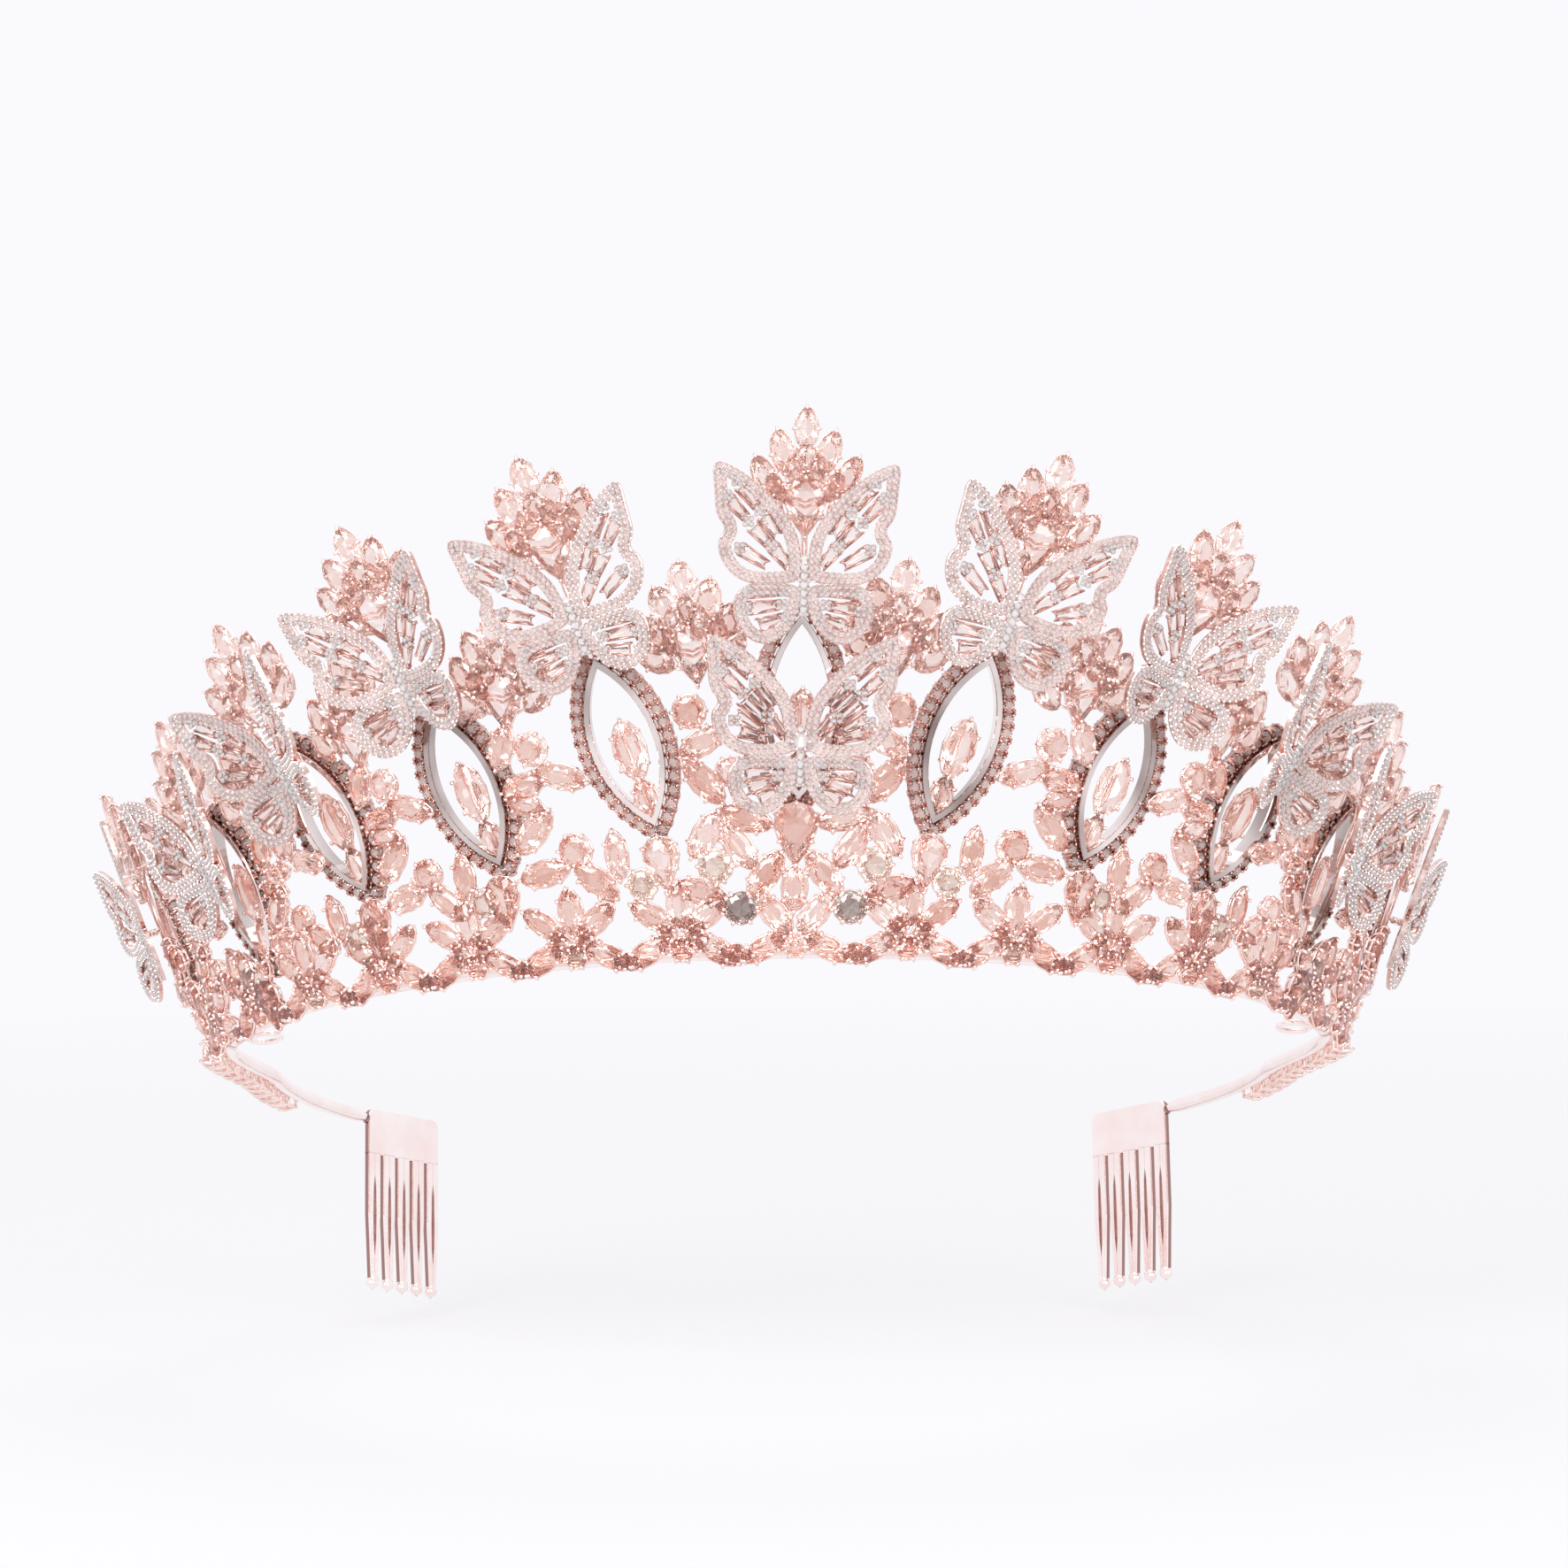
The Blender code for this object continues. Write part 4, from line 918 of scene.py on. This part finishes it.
paints = {
    "polish": metal_paint("polished_rose_gold", srgb(255, 244, 242), srgb(253, 232, 228), 0.1, 0.2, 500.0, 0.01),
    "claws": metal_paint("claw_rose_gold", srgb(255, 234, 228), srgb(244, 211, 202), 0.1, 0.22, 1400.0),
    # The strip's dark colour is painted reflection: dark patches in place of the dark surroundings mirrored in the
    # polished strip.
    "strip": metal_paint("strip_rose_gold_painted_reflection", srgb(242, 231, 228), srgb(140, 124, 119), 0.05, 0.12, 200.0, 0.01),
    "chain": metal_paint("chain_rose_brown", srgb(226, 184, 173), srgb(172, 127, 117), 0.12, 0.24, 1400.0),
    "pave_metal": metal_paint("pave_silver_pink", srgb(255, 240, 236), srgb(244, 219, 213), 0.12, 0.24, 1600.0),
    "pave_bed": metal_paint("pave_bed_rose", srgb(240, 214, 207), srgb(200, 166, 158), 0.15, 0.3, 1600.0),
    "pave_bars": metal_paint("pave_bar_rose", srgb(222, 180, 170), srgb(170, 124, 114), 0.12, 0.24, 1600.0),
    # The comb's last colour is painted shade, for the cut sides and the crease of its plate and teeth.
    "comb": metal_paint("comb_rose_gold", srgb(255, 244, 242), srgb(253, 232, 228), 0.1, 0.2, 500.0, 0.01, srgb(166, 132, 126)),
    "edge": metal_paint("cut_edge_rose", srgb(190, 156, 150), srgb(146, 112, 106), 0.2, 0.35, 900.0),
    # Stone colours run from deep to near white; through the random facet tones, the near-white facets are painted
    # glints and the deep ones painted dark facets.
    "stones": stone_paint("peach_stone", ((0.05, srgb(223, 170, 153)), (0.35, srgb(243, 211, 200)), (0.65, srgb(251, 233, 227)),
                                          (0.95, srgb(255, 251, 249))), 1.0, 1.75, 0.6, 0.3),
    "clear": stone_paint("pale_stone", ((0.1, srgb(206, 178, 160)), (0.5, srgb(240, 222, 208)), (0.9, srgb(252, 246, 240))), 1.0, 2.0, 0.6, 0.3),
    "smoky": stone_paint("smoky_stone", ((0.1, srgb(120, 100, 92)), (0.5, srgb(205, 188, 178)), (0.9, srgb(250, 244, 240))), 1.0, 2.0, 0.6, 0.3),
    "chain_stones": stone_paint("chain_stone", ((0.2, srgb(140, 98, 88)), (0.34, srgb(228, 194, 186)), (0.7, srgb(255, 250, 248))), 0.6, 2.0, 0.85, 0.1),
    "pave": stone_paint("pave_stone", ((0.08, srgb(190, 160, 154)), (0.3, srgb(248, 238, 236)), (0.6, srgb(255, 255, 255))), 0.6, 2.1, 0.75, 0.15),
    "baguettes": stone_paint("baguette_stone", ((0.05, srgb(222, 190, 182)), (0.5, srgb(246, 228, 222)), (0.95, srgb(255, 250, 248))), 1.0, 1.75, 0.6, 0.3),
}


# ---- pieces ----

def mesh_of(name, s):
    mesh = bpy.data.meshes.new(name)
    verts = (s["v"] @ world_turn[:3, :3].T) * MM
    mesh.vertices.add(len(verts))
    mesh.vertices.foreach_set("co", verts.ravel())
    mesh.loops.add(len(s["l"]))
    mesh.loops.foreach_set("vertex_index", s["l"].astype(np.int32))
    mesh.polygons.add(len(s["s"]))
    mesh.polygons.foreach_set("loop_start", np.concatenate(([0], np.cumsum(s["s"])[:-1])).astype(np.int32))
    mesh.polygons.foreach_set("use_smooth", s["m"].astype(bool))
    mesh.update(calc_edges=True)
    # The facet tone carries painted light: painted shade on the comb's cut faces, and painted glints and dark facets on
    # the stones.
    for label, key in (("facet_painted_light", "f"), ("stone", "t")):
        mesh.attributes.new(label, "FLOAT", "FACE").data.foreach_set("value", s[key].astype(np.float32))
    mesh.validate()
    return mesh


def put_pieces():
    for work in works:
        for pile, shapes in work.piles.items():
            name = work.node + "_" + pile
            piece = bpy.data.objects.new(name, mesh_of(name, join(shapes)))
            bpy.context.scene.collection.objects.link(piece)
            piece.data.materials.append(paints[pile])
            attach(piece, work.body)
            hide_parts(work.node)


def dress_all():
    for index, (station, lean, bottom, top, tip) in enumerate(SPIKES):
        for side in ((1, -1) if index else (1,)):
            seat = (side * station, side * lean)
            place = on_crown(seat[0], (bottom + top) / 2, seat[1], LOOP_LIFT)
            dress_loop(work_for(spike_name("loop", index, side)), place, bottom, top)
            foot = min(top - 2.2 - tip, -BODY_BELOW_TIP - 1.6)
            place = on_crown(seat[0], tip, seat[1], STONE_LIFT)
            dress_spray(work_for(spike_name("spray", index, side)), place, 1.0, foot, 31 + index * 2 + side,
                        SIDE_FULLNESS if index else 1.0)
            place = on_crown(seat[0], tip - BODY_BELOW_TIP, seat[1], BUTTERFLY_LIFT)
            raised = WING_DIHEDRAL + INNER_WING_RAISES[index]
            dihedrals = (WING_DIHEDRAL, raised) if side > 0 else (raised, WING_DIHEDRAL)
            dress_butterfly(work_for(spike_name("butterfly", index, side)), place, dihedrals, False,
                            BUTTERFLY_LIFT - STONE_LIFT - 1.2, 0.0)
    place = on_crown(0.0, LOW_BUTTERFLY_HEIGHT, SPIKES[0][1], BUTTERFLY_LIFT)
    shift_down = SPIKES[0][2] + pendant_heights(*SPIKES[0][2:4])[0] - LOW_BUTTERFLY_HEIGHT
    dress_butterfly(work_for("butterfly_low"), place, (LOW_WING_DIHEDRAL, LOW_WING_DIHEDRAL), True, BUTTERFLY_LIFT + 0.1 - GAP, shift_down)
    for index, (station, height) in enumerate(MID_SPRAYS):
        pear = height + GAP + (3.5 + 0.6) * MID_SPRAY_SCALE
        foot = height + GAP - pear - 12.2 * MID_SPRAY_FULL
        rise, lean = (1.5, 7.0) if index == 0 else (0.0, 0.0)
        for side in (1, -1):
            place = on_crown(side * (station - 0.5 * lean), height + GAP + rise - foot, side * lean, STONE_LIFT)
            dress_spray(work_for(spike_name("mid_spray", index + 1, side)), place, MID_SPRAY_FULL, foot, 71 + index * 2 + side,
                        MID_FULLNESS)
    dress_gallery()
    dress_band()


dress_all()
put_pieces()


# ---- floor, light, camera ----

def make_floor():
    mesh = bpy.data.meshes.new("floor")
    size, z = 3.0, -0.0385
    mesh.from_pydata([(-size, -size, z), (size, -size, z), (size, size, z), (-size, size, z)], [], [(0, 1, 2, 3)])
    floor = bpy.data.objects.new("floor", mesh)
    bpy.context.scene.collection.objects.link(floor)
    material = bpy.data.materials.new("floor_white")
    material.use_nodes = True
    tree = material.node_tree
    tree.nodes.remove(tree.nodes["Principled BSDF"])
    out = tree.nodes["Material Output"]
    paper = tree.nodes.new("ShaderNodeBsdfDiffuse")
    paper.inputs["Color"].default_value = (0.86, 0.855, 0.87, 1.0)
    glow = tree.nodes.new("ShaderNodeEmission")
    glow.inputs["Color"].default_value = (0.957, 0.948, 0.98, 1.0)
    path = tree.nodes.new("ShaderNodeLightPath")
    seen = tree.nodes.new("ShaderNodeMath")
    seen.operation = "MAXIMUM"
    link(tree, path.outputs["Is Camera Ray"], seen.inputs[0])
    also = tree.nodes.new("ShaderNodeMath")
    also.operation = "MAXIMUM"
    link(tree, path.outputs["Is Glossy Ray"], also.inputs[0])
    link(tree, path.outputs["Is Transmission Ray"], also.inputs[1])
    link(tree, also.outputs[0], seen.inputs[1])
    coords = tree.nodes.new("ShaderNodeTexCoord")
    length = tree.nodes.new("ShaderNodeVectorMath")
    length.operation = "LENGTH"
    link(tree, coords.outputs["Object"], length.inputs[0])
    fade = tree.nodes.new("ShaderNodeMapRange")
    fade.inputs["From Min"].default_value = 0.1
    fade.inputs["From Max"].default_value = 0.6
    fade.inputs["To Min"].default_value = 0.6
    fade.inputs["To Max"].default_value = 1.0
    link(tree, length.outputs["Value"], fade.inputs["Value"])
    share = tree.nodes.new("ShaderNodeMath")
    share.operation = "MULTIPLY"
    link(tree, fade.outputs["Result"], share.inputs[0])
    link(tree, seen.outputs[0], share.inputs[1])
    mix = tree.nodes.new("ShaderNodeMixShader")
    link(tree, share.outputs[0], mix.inputs["Fac"])
    link(tree, paper.outputs[0], mix.inputs[1])
    link(tree, glow.outputs[0], mix.inputs[2])
    link(tree, mix.outputs[0], out.inputs["Surface"])
    mesh.materials.append(material)


def make_world():
    world = bpy.data.worlds.new("studio")
    bpy.context.scene.world = world
    world.use_nodes = True
    tree = world.node_tree
    back = tree.nodes["Background"]
    coords = tree.nodes.new("ShaderNodeTexCoord")
    parts = tree.nodes.new("ShaderNodeSeparateXYZ")
    link(tree, coords.outputs["Generated"], parts.inputs[0])
    ahead = ramp_node(tree, spread_wide(tree, parts.outputs["Y"]), ((0.0, (0.8,) * 3), (0.12, (0.86,) * 3), (0.3, (0.98,) * 3), (0.5, (1.0,) * 3)))
    sides = ramp_node(tree, spread_wide(tree, parts.outputs["X"]), ((0.0, (1.0,) * 3), (0.5, (1.0,) * 3), (0.8, (0.92,) * 3), (1.0, (0.88,) * 3)))
    both = tree.nodes.new("ShaderNodeMix")
    both.data_type, both.blend_type = "RGBA", "MULTIPLY"
    both.inputs["Factor"].default_value = 1.0
    link(tree, ahead, both.inputs[6])
    link(tree, sides, both.inputs[7])
    path = tree.nodes.new("ShaderNodeLightPath")
    seen = tree.nodes.new("ShaderNodeMath")
    seen.operation = "MAXIMUM"
    link(tree, path.outputs["Is Camera Ray"], seen.inputs[0])
    also = tree.nodes.new("ShaderNodeMath")
    also.operation = "MAXIMUM"
    link(tree, path.outputs["Is Glossy Ray"], also.inputs[0])
    link(tree, path.outputs["Is Transmission Ray"], also.inputs[1])
    link(tree, also.outputs[0], seen.inputs[1])
    mix = tree.nodes.new("ShaderNodeMix")
    mix.data_type = "RGBA"
    link(tree, seen.outputs[0], mix.inputs["Factor"])
    link(tree, both.outputs[2], mix.inputs[6])
    mix.inputs[7].default_value = (0.957, 0.948, 0.98, 1.0)
    link(tree, mix.outputs[2], back.inputs["Color"])
    soft = tree.nodes.new("ShaderNodeMath")
    soft.operation = "MULTIPLY_ADD"
    link(tree, path.outputs["Is Diffuse Ray"], soft.inputs[0])
    soft.inputs[1].default_value, soft.inputs[2].default_value = -0.35, 1.0
    link(tree, soft.outputs[0], back.inputs["Strength"])


def spread_wide(tree, source):
    node = tree.nodes.new("ShaderNodeMapRange")
    node.inputs["From Min"].default_value = -1.0
    node.inputs["From Max"].default_value = 1.0
    link(tree, source, node.inputs["Value"])
    return node.outputs["Result"]


def lamp(name, spot, aim, size, power):
    data = bpy.data.lights.new(name, "AREA")
    data.size, data.energy = size, power
    lamp_object = bpy.data.objects.new(name, data)
    bpy.context.scene.collection.objects.link(lamp_object)
    direction = Matrix.Translation((0, 0, 0)).to_translation()
    direction.x, direction.y, direction.z = (a - b for a, b in zip(aim, spot))
    lamp_object.matrix_world = Matrix.Translation(spot) @ direction.to_track_quat("-Z", "Y").to_matrix().to_4x4()


def make_camera():
    yaw, pitch, roll = -0.036444, 0.239257, -0.017371
    focal, width = 5806.556, 1772.0
    cy, sy, cp, sp, cr, sr = (f(a) for a in (yaw, pitch, roll) for f in (math.cos, math.sin))
    turn = np.array(((cr, 0, sr), (0, 1, 0), (-sr, 0, cr))) @ np.array(((1, 0, 0), (0, cp, sp), (0, -sp, cp)))
    turn = turn @ np.array(((cy, sy, 0), (-sy, cy, 0), (0, 0, 1)))
    spot = turn.T @ np.array((1.0755, -700.0, 39.374))
    right, ahead, up = turn
    data = bpy.data.cameras.new("camera")
    data.sensor_width = 36.0
    data.lens = focal * 36.0 / width
    data.clip_start, data.clip_end = 0.05, 20.0
    camera = bpy.data.objects.new("camera", data)
    bpy.context.scene.collection.objects.link(camera)
    camera.matrix_world = Matrix((world_turn @ axes_at(right, up, -ahead, spot * MM)).tolist())
    bpy.context.scene.camera = camera


make_floor()
make_world()
lamp("key", (-0.45, -0.85, 0.45), (0, 0, 0.02), 0.5, 6.0)
lamp("fill", (0.55, -0.8, 0.35), (0, 0, 0.02), 0.5, 3.4)
lamp("top", (0.0, 0.2, 0.9), (0, 0, 0.02), 0.7, 2.0)
make_camera()
bpy.context.scene.view_settings.view_transform = "Standard"
# Light turns many times inside a cut stone; the default four glossy bounces leave its ends black
bpy.context.scene.cycles.glossy_bounces = 16
bpy.context.scene.cycles.transmission_bounces = 16
bpy.context.scene.cycles.max_bounces = 20
